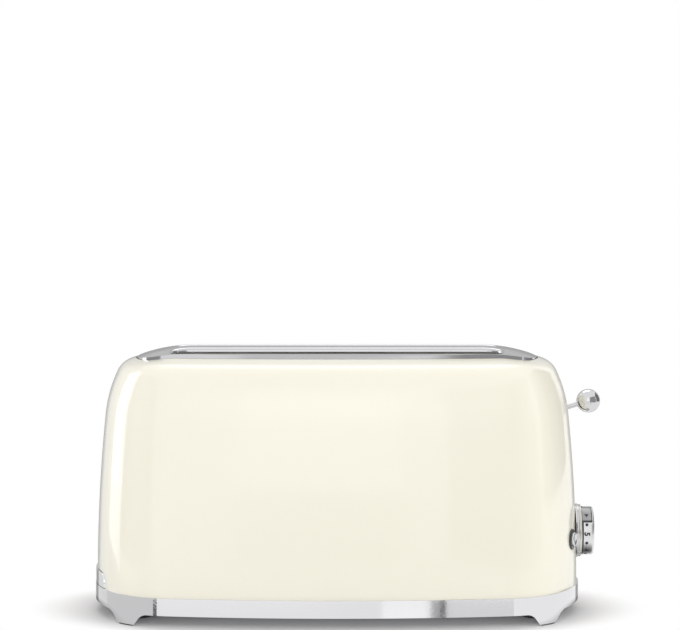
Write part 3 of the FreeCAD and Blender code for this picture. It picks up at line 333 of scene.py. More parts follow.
def mix_finish(name, colour, darker, metal=0.0, rough=(0.3, 0.4), cloud=8.0, speck=0.0,
               fleck=(0.1, 0.1, 0.1), size=600.0, stretch=(1, 1, 1), bump=0.05, coat=0.0, coat_rough=0.03):
    """Makes a material; rough is its range of roughness, and cloud and size are scales of the noise."""
    material = bpy.data.materials.new(name)
    material.use_nodes = True
    tree = material.node_tree
    shader = tree.nodes["Principled BSDF"]
    shader.inputs["Metallic"].default_value = metal
    shader.inputs["Coat Weight"].default_value = coat
    shader.inputs["Coat Roughness"].default_value = coat_rough
    paint = node(tree, "ShaderNodeGroup", node_tree=drift)
    for key, value in (("Colour", colour), ("Shade", darker), ("Speck", fleck)):
        paint.inputs[key].default_value = (*value, 1)
    paint.inputs["Cloud size"].default_value = cloud
    paint.inputs["Speck amount"].default_value = speck
    surface = node(tree, "ShaderNodeGroup", node_tree=grain)
    for key, value in zip(("Grain size", "Stretch", "Smoothest", "Roughest"), (size, stretch, *rough)):
        surface.inputs[key].default_value = value
    relief = node(tree, "ShaderNodeBump",
                  [("Height", surface.outputs["Height"]), ("Strength", bump), ("Distance", RELIEF_DEPTH)])
    tree.links.new(paint.outputs["Colour"], shader.inputs["Base Color"])
    tree.links.new(surface.outputs["Roughness"], shader.inputs["Roughness"])
    tree.links.new(relief.outputs["Normal"], shader.inputs["Normal"])
    finishes[name] = material


# %% The finish list
BRUSHED_X = (0.04, 1, 1)
BRUSHED_Z = (1, 1, 0.04)
mix_finish("cream_enamel", (0.885, 0.855, 0.735), (0.87, 0.838, 0.71), rough=(0.29, 0.31), cloud=5, size=420,
           bump=0.003, coat=1.0, coat_rough=0.02)
mix_finish("polished_steel", (0.66, 0.66, 0.67), (0.60, 0.60, 0.615), metal=1, rough=(0.10, 0.20), size=500,
           stretch=BRUSHED_X, bump=0.02, speck=0.05, fleck=(0.5, 0.5, 0.5))
mix_finish("satin_silver", (0.80, 0.80, 0.81), (0.76, 0.76, 0.775), metal=1, rough=(0.03, 0.07), size=700,
           bump=0.03, speck=0.05, fleck=(0.68, 0.68, 0.69))
mix_finish("chrome", (0.70, 0.70, 0.71), (0.67, 0.67, 0.685), metal=1, rough=(0.09, 0.13), size=300,
           bump=0.005)
mix_finish("black_rubber", (0.028, 0.028, 0.030), (0.045, 0.045, 0.046), rough=(0.6, 0.85), size=900,
           bump=0.5, speck=0.4, fleck=(0.07, 0.07, 0.07))
mix_finish("zinc_sheet", (0.56, 0.57, 0.58), (0.44, 0.45, 0.47), metal=1, rough=(0.28, 0.5), cloud=60,
           size=260, bump=0.12, speck=0.3, fleck=(0.62, 0.63, 0.64))
mix_finish("zinc_screw", (0.62, 0.62, 0.60), (0.52, 0.51, 0.47), metal=1, rough=(0.2, 0.4), cloud=200,
           size=900, bump=0.1)
mix_finish("bright_sheet", (0.70, 0.69, 0.67), (0.62, 0.57, 0.49), metal=1, rough=(0.12, 0.3), cloud=14,
           size=500, stretch=BRUSHED_X, bump=0.06)
mix_finish("bright_wire", (0.66, 0.65, 0.64), (0.52, 0.49, 0.45), metal=1, rough=(0.15, 0.35), cloud=30,
           size=900, bump=0.08)
mix_finish("ground_steel", (0.64, 0.64, 0.65), (0.55, 0.55, 0.565), metal=1, rough=(0.12, 0.3), cloud=40,
           size=800, stretch=(0.1, 1, 1), bump=0.06)
mix_finish("spring_steel", (0.38, 0.38, 0.40), (0.24, 0.24, 0.26), metal=1, rough=(0.25, 0.45), cloud=120,
           size=900, bump=0.1)
mix_finish("magnet_iron", (0.32, 0.32, 0.33), (0.24, 0.24, 0.25), metal=1, rough=(0.35, 0.6), cloud=90,
           size=500, stretch=BRUSHED_Z, bump=0.15, speck=0.3, fleck=(0.3, 0.18, 0.1))
mix_finish("coil_copper", (0.58, 0.27, 0.12), (0.42, 0.17, 0.07), metal=1, rough=(0.2, 0.4), cloud=80,
           size=500, stretch=(0.05, 0.05, 4), bump=0.6)
mix_finish("mica", (0.60, 0.52, 0.38), (0.46, 0.38, 0.26), rough=(0.25, 0.5), cloud=70, size=300, bump=0.2,
           speck=0.7, fleck=(0.78, 0.72, 0.6))
mix_finish("heater_ribbon", (0.33, 0.30, 0.29), (0.20, 0.17, 0.16), metal=1, rough=(0.35, 0.6), cloud=45,
           size=700, bump=0.1)
mix_finish("black_plastic", (0.024, 0.024, 0.026), (0.036, 0.036, 0.038), rough=(0.35, 0.55), size=1400,
           bump=0.25)
mix_finish("pale_plastic", (0.76, 0.74, 0.66), (0.70, 0.67, 0.58), rough=(0.3, 0.5), size=1200, bump=0.12)
mix_finish("component_plastic", (0.05, 0.06, 0.09), (0.03, 0.035, 0.055), rough=(0.25, 0.4), size=900,
           bump=0.1)
mix_finish("circuit_board", (0.05, 0.20, 0.10), (0.035, 0.15, 0.075), rough=(0.25, 0.4), cloud=120, size=350,
           stretch=(1, 1, 0.1), bump=0.25, coat=0.4, speck=0.5, fleck=(0.10, 0.32, 0.16))
mix_finish("button_silver", (0.74, 0.74, 0.75), (0.70, 0.70, 0.715), metal=1, rough=(0.10, 0.2), size=900,
           bump=0.03)
mix_finish("drum_silver", (0.80, 0.80, 0.80), (0.76, 0.76, 0.765), metal=1, rough=(0.18, 0.3), size=900,
           stretch=(1, 0.05, 0.05), bump=0.04)
mix_finish("dark_trim", (0.018, 0.019, 0.022), (0.03, 0.031, 0.034), rough=(0.12, 0.25), size=1200,
           bump=0.05, coat=0.5)
mix_finish("index_tile", (0.40, 0.40, 0.405), (0.35, 0.35, 0.36), metal=0.7, rough=(0.3, 0.45), size=900,
           bump=0.05)
print("finishes:", len(finishes))


# %% [markdown]
# ## Finishes on the CAD pieces
# The works inside the toaster keep the CAD model's own meshes, because their shapes are right as they are.
# The record names the finish of each node, so one loop puts the new material in the node's own slot.

# %% Put the finishes on the CAD nodes
for part in frame["record"]["subparts"]:
    item = frame["nodes"][part["node"]]
    for slot_number in range(len(item.data.materials)):
        item.data.materials[slot_number] = finishes[part["material_slot"]]


# %% [markdown]
# ## Camera
# The toaster is seen from the front, slightly from above, from two metres away. A long lens keeps its sides
# nearly straight, as a product view does.

# %% Camera
CAMERA_PLACE = Vector((MIDDLE + 2.45 * MM, -2.0, 0.3759))
LOOK_DOWN = math.radians(3.86)
bpy.ops.object.camera_add(location=CAMERA_PLACE, rotation=(math.pi / 2 - LOOK_DOWN, 0, 0))
camera = rename(bpy.context.object, "camera")
camera.data.lens, camera.data.sensor_width = 129.7, 36.0
camera.data.clip_start, camera.data.clip_end = 0.05, 50.0
bpy.context.scene.camera = camera
print("camera at", [round(v, 3) for v in camera.location], "lens", camera.data.lens)

# %% [markdown]
# ## Studio
# An evenly white room would make silver look white, so the studio gives shiny things something to show:
# soft lamps, and bright and grey cards. The room itself is white to the camera and to reflections, and
# dimmer as a light, so that the lamps do the modelling. The floor is pale and matt. It takes the shadow near
# the toaster and runs into the white of the room further out.

# %% Room
WHITE = (1, 1, 1, 1)
ROOM_LIGHT = 0.40
scene = bpy.context.scene
scene.view_settings.view_transform = "Standard"
world = bpy.data.worlds.new("room")
scene.world = world
world.use_nodes = True
tree = world.node_tree
tree.nodes.clear()
path = node(tree, "ShaderNodeLightPath")
shown = path.outputs["Is Camera Ray"]
for kind in ("Is Glossy Ray", "Is Transmission Ray"):
    either = node(tree, "ShaderNodeMath", [(0, shown), (1, path.outputs[kind])], operation="MAXIMUM")
    shown = either.outputs[0]
level = node(tree, "ShaderNodeMapRange", [("Value", shown), ("To Min", ROOM_LIGHT), ("To Max", 1.0)])
white = node(tree, "ShaderNodeBackground", [("Color", WHITE), ("Strength", level.outputs["Result"])])
node(tree, "ShaderNodeOutputWorld", [("Surface", white.outputs["Background"])])
print("room lights with", ROOM_LIGHT, "of what it shows")


# %% Floor
FLOOR_RADIUS = 9.0
FLOOR_COLOUR = (0.85, 0.845, 0.84, 1)
ROUND_PLAN = (1 / HALF_LENGTH, 0.9 / HALF_DEPTH, 0)          # makes the toaster's plan a circle of about 1
FADE = (1.05, 1.3)                           # where the floor turns into the white of the room
# The floor's reflection near the toaster is painted shade: bright at the front edge and dark further back, where
# the floor lies in shade.
PAINTED_SHADE_END = (1.05, 1.22)                     # where its dark reflection ends
PAINTED_SHADE_FRONT, PAINTED_SHADE_BACK, PAINTED_SHADE_DARK = -0.125, -0.01, 0.12


def make_floor():
    """Matt round floor: white beyond the toaster's foot, and for reflections a painted shade patch under it only.
    """
    bpy.ops.mesh.primitive_circle_add(vertices=96, radius=FLOOR_RADIUS, fill_type="NGON", location=(0, 0, 0))
    floor = start("floor")
    material = bpy.data.materials.new("floor")
    material.use_nodes = True
    tree = material.node_tree
    shader = tree.nodes["Principled BSDF"]
    shader.inputs["Base Color"].default_value = FLOOR_COLOUR
    shader.inputs["Roughness"].default_value = 0.9
    shader.inputs["Specular IOR Level"].default_value = 0.1

    place = node(tree, "ShaderNodeTexCoord").outputs["Object"]
    centred = node(tree, "ShaderNodeVectorMath", [(0, place), (1, (-MIDDLE, 0, 0))], operation="ADD")
    scaled = node(tree, "ShaderNodeVectorMath",
                  [(0, centred.outputs[0]), (1, ROUND_PLAN)], operation="MULTIPLY")
    far = node(tree, "ShaderNodeVectorMath", [(0, scaled.outputs[0])], operation="LENGTH").outputs["Value"]

    def rise(near, end):
        """0 nearer than one distance, 1 beyond the other, and smooth between them."""
        return node(tree, "ShaderNodeMapRange", [("Value", far), ("From Min", near), ("From Max", end)],
                    interpolation_type="SMOOTHSTEP").outputs["Result"]

    path = node(tree, "ShaderNodeLightPath")
    share = node(tree, "ShaderNodeMath", [(0, rise(*FADE)), (1, path.outputs["Is Camera Ray"])],
                 operation="MULTIPLY")
    glow = node(tree, "ShaderNodeEmission", [("Color", WHITE), ("Strength", 1.0)])
    seen = node(tree, "ShaderNodeMixShader",
                [(0, share.outputs[0]), (1, shader.outputs["BSDF"]), (2, glow.outputs["Emission"])])

    # Painted reflection: glossy rays see an emission here instead of the floor, dark under the toaster and bright
    # towards its front, and it clears to the room further out.
    split = node(tree, "ShaderNodeSeparateXYZ", [(0, place)])
    under = node(tree, "ShaderNodeMapRange",
                 [("Value", split.outputs["Y"]), ("From Min", PAINTED_SHADE_FRONT), ("From Max", PAINTED_SHADE_BACK),
                  ("To Min", 1.0), ("To Max", PAINTED_SHADE_DARK)])
    patch = node(tree, "ShaderNodeEmission", [("Color", WHITE), ("Strength", under.outputs["Result"])])
    clear = node(tree, "ShaderNodeBsdfTransparent", [("Color", WHITE)])
    painted_reflection = node(tree, "ShaderNodeMixShader",
                    [(0, rise(*PAINTED_SHADE_END)), (1, patch.outputs["Emission"]), (2, clear.outputs["BSDF"])])
    both = node(tree, "ShaderNodeMixShader", [(0, path.outputs["Is Glossy Ray"]), (1, seen.outputs["Shader"]),
                                              (2, painted_reflection.outputs["Shader"])])
    tree.links.new(both.outputs["Shader"], tree.nodes["Material Output"].inputs["Surface"])
    floor.data.materials.append(material)
    print("floor, radius", FLOOR_RADIUS, "m")


make_floor()


# %% [markdown]
# ## Lamps and cards
# The lamps give the light and stay out of the reflections. The cards do the opposite: only reflections see
# them, so each bright or dark stripe on the metal and the enamel can be placed by itself. They stand on a
# circle three metres out, but for one that hangs above. What stands below the ring line shows in the base
# ring and the legs only.

# %% Lamps
def lamp(name, place, width, height, power):
    """A soft lamp that faces the toaster."""
    bpy.ops.object.light_add(type="AREA", location=place)
    item = bpy.context.object
    item.name = name
    item.data.shape = "RECTANGLE"
    item.data.size, item.data.size_y = width, height
    item.data.energy = power
    item.rotation_euler = (AIM - Vector(place)).to_track_quat("-Z", "Y").to_euler()
    item.visible_camera = item.visible_glossy = False


AIM = Vector((MIDDLE, 0, 0.1))
lamp("top_lamp", (0.0, 0.35, 1.6), 1.9, 0.9, 9)
lamp("front_lamp", (0.1, -2.6, 1.1), 2.2, 1.2, 24)
lamp("back_lamp", (0.1, 2.6, 1.1), 2.2, 1.2, 18)
lamp("left_lamp", (-1.6, -0.5, 0.7), 1.0, 1.0, 9)
lamp("right_lamp", (1.6, -0.5, 0.7), 1.0, 1.0, 10)


# %% Helpers for the cards
CARD_DISTANCE = 3.0


def light_up(card, brightness):
    """Makes a card glow evenly, for reflections only."""
    material = bpy.data.materials.new(card.name)
    material.use_nodes = True
    tree = material.node_tree
    tree.nodes.clear()
    glow = node(tree, "ShaderNodeEmission", [("Color", WHITE), ("Strength", brightness)])
    node(tree, "ShaderNodeOutputMaterial", [("Surface", glow.outputs["Emission"])])
    card.data.materials.append(material)
    card.visible_camera = card.visible_diffuse = card.visible_shadow = card.visible_transmission = False


def card(name, middle, rotation, width, height, brightness):
    let_go()
    bpy.ops.mesh.primitive_plane_add(size=1, location=middle, rotation=rotation)
    bpy.context.object.scale = (width, height, 1)
    light_up(start(name), brightness)


def around(turn):
    """Point on the cards' circle: a turn of 0 is towards the camera and 90 to the right."""
    turn = math.radians(turn)
    return Vector((MIDDLE + CARD_DISTANCE * math.sin(turn), -CARD_DISTANCE * math.cos(turn), 0))


def standing_card(name, start_turn, end_turn, low, high, brightness):
    """Upright card between two turns and two heights."""
    one, two = around(start_turn), around(end_turn)
    side = two - one
    card(name, (one + two) / 2 + UP * (low + high) / 2, (math.pi / 2, 0, math.atan2(side.y, side.x)),
         side.length, high - low, brightness)


def hanging_card(name, low_edge, high_edge, width, brightness):
    """Sloping card between two level edges, each given as (y, z)."""
    low_edge, high_edge = Vector((0, *low_edge)), Vector((0, *high_edge))
    slope = high_edge - low_edge
    tilt = math.atan2(slope.z, slope.y)
    card(name, (low_edge + high_edge) / 2, (tilt, 0, 0), width, slope.length, brightness)


# %% Cards
LOW, RING_LINE, WIDE_LINE, SOFTBOX_LINE, RIM_LINE, BACK_LINE, HIGH = -1.5, -0.5, -0.3, -0.1, 0.08, 0.45, 2.2
CARDS = (                                    # name, first and last turn, foot and top, brightness
    ("left_softbox_top", -104, -127, SOFTBOX_LINE, HIGH, 2.3),
    ("left_softbox_foot", -104, -127, RING_LINE, SOFTBOX_LINE, 1.8),
    ("left_low", -40.5, -127, LOW, WIDE_LINE, 0.7),
    ("left_grey", -45, -104, WIDE_LINE, HIGH, 0.35),
    ("left_end_grey", -127, -150, LOW, HIGH, 0.8),
    ("back_low", -150, -210, LOW, BACK_LINE, 0.4),
    ("back_high", -150, -210, BACK_LINE, HIGH, 0.6),
    ("right_grey", 15, 78, WIDE_LINE, HIGH, 0.35),
    ("right_end_dark", 84, 138, SOFTBOX_LINE, HIGH, 0.2),
    ("front_left_line", -35, -40.5, LOW, RING_LINE, 0.1),
    ("front_fill", -35, 6, LOW, RING_LINE, 0.95),
    ("front_glow", 6, 12, LOW, RING_LINE, 1.12),
    ("front_shade", 12.6, 13.8, LOW, RING_LINE, 0.45),
    ("front_line", 13.8, 14.5, LOW, RING_LINE, 0.08),
    ("right_low", 14.5, 30, LOW, RING_LINE, 0.8),
    ("front_mid", -14, 9, WIDE_LINE, RIM_LINE, 0.72),
    ("front_bright", -14, 9, RIM_LINE, HIGH, 1.3),
)
for row in CARDS:
    standing_card(*row)
hanging_card("top_softbox", (1.1, 1.2), (0.5, 1.6), 1.0, 1.9)
print("5 lamps and", len(CARDS) + 1, "cards placed")


# %% [markdown]
# ## The plan of the body
# The body, the base ring and the top panel share one plan: a long flat bow at the front, a tight round at the
# corner and a wider bow at the end, each touching the next. It could be a bezier curve, but arcs keep the
# true radii. So one point is spun round the centre of each arc in turn, which draws a quarter of the plan,
# and the quarter is mirrored twice.

# %% Centres and turns of the three arcs
END_CENTRE = HALF_LENGTH - END_RADIUS


def plan_arcs(squeeze=0.0):
    """Front arc's centre, corner arc's centre, and the turns of the front and end arcs.

    A squeezed plan is shallower from front to back; the top panel has one.
    """
    front_centre = FRONT_RADIUS - HALF_DEPTH + squeeze
    reach, rise = END_RADIUS - CORNER_RADIUS, FRONT_RADIUS - CORNER_RADIUS
    span = math.hypot(END_CENTRE, front_centre)
    along = (rise ** 2 - reach ** 2 + span ** 2) / (2 * span)
    aside = math.sqrt(rise ** 2 - along ** 2)
    corner_x = (along * END_CENTRE + aside * front_centre) / span
    corner_y = (along * front_centre - aside * END_CENTRE) / span - front_centre
    end_turn = math.atan2(corner_y, corner_x - END_CENTRE)
    return front_centre, corner_x, corner_y, math.atan2(corner_x, front_centre + corner_y), end_turn


FRONT_CENTRE, CORNER_X, CORNER_Y, FRONT_TURN, END_TURN = plan_arcs()
print("corner arc centred at", round(CORNER_X / MM, 1), round(CORNER_Y / MM, 1),
      "turns", [round(math.degrees(t), 1) for t in (FRONT_TURN, END_TURN)])


# %% Draw the plan with spins
def new_point(name, place):
    """A single point: a small square collapsed on its middle."""
    let_go()
    bpy.ops.mesh.primitive_plane_add(size=MM, location=place)
    piece = start(name)
    edit(piece)
    pick_all()
    bpy.ops.mesh.merge(type="CENTER")
    return piece


def spin(centre, turn, steps, axis=(0, 0, 1)):
    """Sweeps the selection anticlockwise round an axis; the operator itself counts the other way."""
    bpy.ops.mesh.spin(steps=steps, angle=-turn, center=centre, axis=axis)


def draw_plan(name, inset, height, fine=1.0, squeeze=0.0):
    """Face with the body's outline, drawn in from the ring's edge by inset."""
    front_centre, corner_x, corner_y, front_turn, end_turn = plan_arcs(squeeze)
    piece = new_point(name, (MIDDLE, inset + squeeze - HALF_DEPTH, height))
    spin((MIDDLE, front_centre, height), front_turn, round(14 * fine))
    spin((MIDDLE + corner_x, -corner_y, height), math.pi / 2 - front_turn - end_turn, round(22 * fine))
    spin((MIDDLE + END_CENTRE, 0, height), end_turn, round(12 * fine))
    for flip in ((-1, 1, 1), (1, -1, 1)):
        pick_all()
        bpy.ops.mesh.duplicate()
        bpy.ops.transform.resize(value=flip, center_override=(MIDDLE, 0, height))
    pick_all()
    weld()
    bpy.ops.mesh.edge_face_add()
    done()
    if piece.data.polygons[0].normal.z < 0:
        piece.data.flip_normals()
    return piece


def step_in(inset, rise):
    """Insets the selected face and lifts it: one step of a stack of outlines."""
    bpy.ops.mesh.inset(thickness=inset, depth=rise, use_even_offset=True, use_boundary=True)


def plan_block(name, inset, bottom, top, fine=1.0, squeeze=0.0):
    """Upright block with the body's outline, for cutting other pieces."""
    piece = draw_plan(name, inset, bottom, fine, squeeze)
    edit(piece, "FACE")
    pick_all()
    pull((0, 0, top - bottom))
    done()
    return clean(piece)


trial = draw_plan("trial", 0, 0)
print("plan:", len(trial.data.vertices), "points,", [round(v / MM, 2) for v in trial.dimensions])
bpy.data.objects.remove(trial)

# %% [markdown]
# ## The painted shell
# The shell is one deep-drawn steel cover. Its wall leans in a little, then turns over the shoulder and the
# brow towards the top. Its profile is four arcs that touch, so light runs over it without a break. It could
# be a loft or a subdivided cage, but the cage would drift from the true shape. Here the plan is stepped in
# and up again and again, and each step is a point on the profile, so every contour is exact. The opening for
# the top panel is punched afterwards, and its edge is turned down.

# %% Profile of the wall
SIDE, SHOULDER, BROW, CROWN = (math.radians(angle) for angle in (6.0, 25.5, 74.0, 78.0))
SHOULDER_RADIUS, BROW_RADIUS, CROWN_RADIUS = 108 * MM, 18 * MM, 400 * MM
CROWN_SPARE = 6.3 * MM                       # the crown's arc would end this far over the top panel
wall_rise = CROWN_TOP + CROWN_SPARE - RING_TOP - SHOULDER_RADIUS * (math.sin(SHOULDER) - math.sin(SIDE))
wall_rise -= BROW_RADIUS * (math.sin(BROW) - math.sin(SHOULDER)) + CROWN_RADIUS * (1 - math.sin(BROW))
SIDE_RADIUS = wall_rise / math.sin(SIDE)
WALL_ARCS = ((SIDE_RADIUS, SIDE, 12), (SHOULDER_RADIUS, SHOULDER, 7),           # radius, end's turn, steps
             (BROW_RADIUS, BROW, 14), (CROWN_RADIUS, CROWN, 5))


def wall_profile():
    """(inset from the ring's edge, height) from the shell's foot up over the brow."""
    points = [(SHELL_INSET, RING_TOP)]
    begin = 0.0
    for radius, end, steps in WALL_ARCS:
        centre_in = points[-1][0] + radius * math.cos(begin)
        centre_up = points[-1][1] - radius * math.sin(begin)
        for step in range(1, steps + 1):
            turn = begin + (end - begin) * step / steps
            points.append((centre_in - radius * math.cos(turn), centre_up + radius * math.sin(turn)))
        begin = end
    return points


profile = wall_profile()
print("side radius", round(SIDE_RADIUS / MM), "mm; profile ends", [round(v / MM, 2) for v in profile[-1]])


# %% Build the shell's sheet
SHELL_SHEET = 1.2 * MM
LIP_BACK, LIP_UNDER = 0.02 * MM, 0.2 * MM    # the lip hides in the sheet, so no faces coincide
OPENING_FOOT, LIP_FOOT = 150 * MM, CROWN_TOP - 19 * MM


def opening_block(inset, bottom, top):
    """Block with the outline of the top panel's opening, as finely stepped as the shell."""
    return plan_block("opening", inset, bottom, top, fine=1.6, squeeze=PANEL_SQUEEZE)


def make_form():
    """The body's whole outer form, closed: outlines stacked along the profile."""
    form = draw_plan("form", SHELL_INSET, RING_TOP, fine=1.6)
    edit(form, "FACE")
    pick_all()
    bpy.ops.mesh.duplicate()
    for (inset, height), (next_inset, next_height) in zip(profile, profile[1:]):
        step_in(next_inset - inset, next_height - height)
    done()
    return clean(form, smooth=40)


def make_shell():
    """The form's sheet, with the panel's opening punched out and its edge turned down."""
    form = make_form()
    shell = copy_of(form, "shell")
    edit(shell, "FACE")
    pick(shell, lambda face: abs(face.normal.z) > 0.999, "FACE")
    bpy.ops.mesh.delete(type="FACE")
    done()
    modify(shell, "SOLIDIFY", thickness=SHELL_SHEET, offset=-1)
    opening = PANEL_EDGE - PANEL_GAP
    combine(shell, opening_block(opening, OPENING_FOOT, 2 * CROWN_TOP))
    lip = opening_block(opening - SHELL_SHEET, LIP_FOOT, 2 * CROWN_TOP)
    combine(lip, opening_block(opening - LIP_BACK, OPENING_FOOT, 3 * CROWN_TOP))
    form.location.z = -LIP_UNDER
    bpy.context.view_layer.update()
    combine(lip, form, "INTERSECT")
    combine(shell, lip, "UNION")
    return shell


shell = make_shell()
print("shell:", len(shell.data.polygons), "faces, top", round(shell.dimensions.z / MM, 1))


# %% [markdown]
# ## Openings in the shell
# The lever needs a slot with round ends, the knob's shaft and the buttons need round holes, and the crumb
# tray has a doorway at the left end. Presses punch these after the cover is drawn, so they are cut last
# here too, each with a tool shaped like the punch. Their places come from the pieces that fill them.

# %% Where the openings go
def wall_x(height):
    """X of the shell's outside at the right end."""
    for (low_in, low_up), (high_in, high_up) in zip(profile, profile[1:]):
        if low_up <= height <= high_up:
            share = (height - low_up) / (high_up - low_up)
            return MIDDLE + HALF_LENGTH - low_in - (high_in - low_in) * share
    return None


def joint(name):
    return next(item for item in frame["joints"] if item["name"] == name)


def centre_of(node_name):
    low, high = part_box(node_name)
    return (low + high) / 2


ARM_TURN = math.radians(17)
ball_low, ball_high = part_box("lever_ball")
BALL_RADIUS = (ball_high.z - ball_low.z) / 2
BALL = Vector((ball_high.x - BALL_RADIUS, 0, ball_low.z + BALL_RADIUS))
TRAVEL = joint("lever_slide")["range_m"][1]
KNOB_HEIGHT = centre_of("knob_bezel").z
RIGHT_END = MIDDLE + HALF_LENGTH
SLOT_WIDTH, SLOT_SPARE = 6 * MM, 3.5 * MM
SHAFT_HOLE, BUTTON_BORE = 6 * MM, 6.1 * MM
DOORWAY_GAP, DOORWAY_CORNER = 0.4 * MM, 8 * MM
PUNCH_START, PUNCH_LENGTH, BUTTON_PUNCH = RIGHT_END - 25 * MM, 40 * MM, 24 * MM


def arm_height(lift):
    """Where the arm crosses the wall, with the ball lowered by some amount."""
    ball_z = BALL.z - lift
    return ball_z - math.tan(ARM_TURN) * (BALL.x - wall_x(ball_z))


# %% Tools for the openings
PUNCH_SIDES = 48                             # enough flats for a round hole


def rod(name, start_at, direction, radius, length):
    """Closed cylinder from a point along a direction."""
    let_go()
    way = Vector(direction).normalized()
    middle = Vector(start_at) + way * length / 2
    bpy.ops.mesh.primitive_cylinder_add(vertices=PUNCH_SIDES, radius=radius, depth=length, location=middle,
                                        rotation=way.to_track_quat("Z", "Y").to_euler())
    return start(name)


def block(name, low, high):
    let_go()
    low, high = Vector(low), Vector(high)
    bpy.ops.mesh.primitive_cube_add(size=1, location=(low + high) / 2, scale=high - low)
    return start(name)


def lever_punch():
    low, high = arm_height(TRAVEL) - SLOT_SPARE, arm_height(0) + SLOT_SPARE
    tool = rod("punch", (PUNCH_START, 0, low + SLOT_WIDTH / 2), (1, 0, 0), SLOT_WIDTH / 2, PUNCH_LENGTH)
    edit(tool)
    pick(tool, lambda place: place.z > low + SLOT_WIDTH / 2 + NEAR)
    bpy.ops.transform.translate(value=(0, 0, high - low - SLOT_WIDTH))
    return done(tool)


def doorway_punch(grow, depth):
    """Block with round upper corners at the left end, where the crumb tray's front stands."""
    low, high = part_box("crumb_tray_front")
    left = MIDDLE - HALF_LENGTH
    tool = block("punch", (left - grow, low.y - grow, RING_TOP - MM),
                 (left + depth, high.y + grow, high.z + grow))
    return round_edges(tool, lambda a, b: abs(a.y - b.y) < NEAR and min(a.z, b.z) > high.z,
                       DOORWAY_CORNER + grow, 10)


combine(shell, lever_punch())
combine(shell, rod("punch", (PUNCH_START, 0, KNOB_HEIGHT), (1, 0, 0), SHAFT_HOLE, PUNCH_LENGTH))
for job in ("cancel", "defrost"):
    inward = Vector(joint(job + "_press")["axis"])
    begin = centre_of(job + "_button") - inward * BUTTON_PUNCH / 2
    combine(shell, rod("punch", begin, inward, BUTTON_BORE, BUTTON_PUNCH))
combine(shell, doorway_punch(DOORWAY_GAP, PUNCH_LENGTH))
shade(shell, 35)
dress(shell, "cream_enamel", "chassis", "body_shell")


# %% [markdown]
# ## The polished top
# The top is a thin polished sheet, crowned from front to back and falling at both ends, with a turned-down
# rim. Two long slots are cut in it, and their edges are rolled down all the way round as lips that guide
# the bread. It could be a bent grid, but bend tools need a window, and the true shape is simple: an arc
# drawn by one spin, pulled along the toaster, and spun again round a level axis at each end.

# %% Slabs, slots and the crown
BOW_RADIUS, DROP_RADIUS = 650 * MM, 138 * MM
STRAIGHT = 118 * MM                        # half length of the part that doesn't fall
PANEL_SHEET, PANEL_SOFT = 0.8 * MM, 0.3 * MM
SLOT_HALF, SLOT_WIDE, SLOT_CORNER = 134 * MM, 18 * MM, 14 * MM        # half length, half width, corner
SLOT_Y = 28 * MM                           # middle of a slot
SLAB_HALF, SLAB_SPARE = 80 * MM, 5 * MM    # half width of the slabs, and how far the cutters stand over them
SLOT_REACH, PLAN_DEEP = UP * 40 * MM, 60 * MM    # how far the cutters reach down, the first as a step


def crown_slab(name, depth, thickness):
    """Slab under the crowned face, from a depth below it."""
    radius = BOW_RADIUS - depth
    fall = math.asin((HALF_LENGTH - STRAIGHT) / DROP_RADIUS)
    bow = math.asin(SLAB_HALF / radius)
    axis_up = CROWN_TOP - BOW_RADIUS
    piece = new_point(name, (MIDDLE - STRAIGHT, -SLAB_HALF, axis_up + radius * math.cos(bow)))
    spin((MIDDLE - STRAIGHT, 0, axis_up), -2 * bow, 40, axis=(1, 0, 0))
    pick_all()
    pull((2 * STRAIGHT, 0, 0))
    for side in (1, -1):
        pick(piece, lambda place: (place.x - MIDDLE) * side > STRAIGHT - NEAR)
        spin((MIDDLE + side * STRAIGHT, 0, CROWN_TOP - DROP_RADIUS), side * fall, 22, axis=(0, 1, 0))
    done()
    clean(piece)
    if sum(face.normal.z for face in piece.data.polygons) < 0:
        piece.data.flip_normals()
    modify(piece, "SOLIDIFY", thickness=thickness, offset=-1)
    return piece


def bread_slot(side, grow=0.0):
    """Upright block with round corners, the shape of one bread slot."""
    corner = Vector((SLOT_HALF + grow, SLOT_WIDE + grow, 0))
    middle = Vector((MIDDLE, side * SLOT_Y, CROWN_TOP))
    tool = block("slot", middle - corner - SLOT_REACH, middle + corner + UP * SLAB_SPARE)
    return round_edges(tool, upright, SLOT_CORNER + grow, 12)


# %% Roll the edge of a slot
LIP_RADIUS, ROLL_REACH = 3.2 * MM, 2 * MM    # the edge's round, and the tool's spare metal beyond it


def crown_fall(place):
    """How far the crowned face lies under its highest point."""
    end = max(abs(place.x - MIDDLE) - STRAIGHT, 0)
    bow = BOW_RADIUS - math.sqrt(BOW_RADIUS ** 2 - place.y ** 2)
    return bow + DROP_RADIUS - math.sqrt(DROP_RADIUS ** 2 - end ** 2)


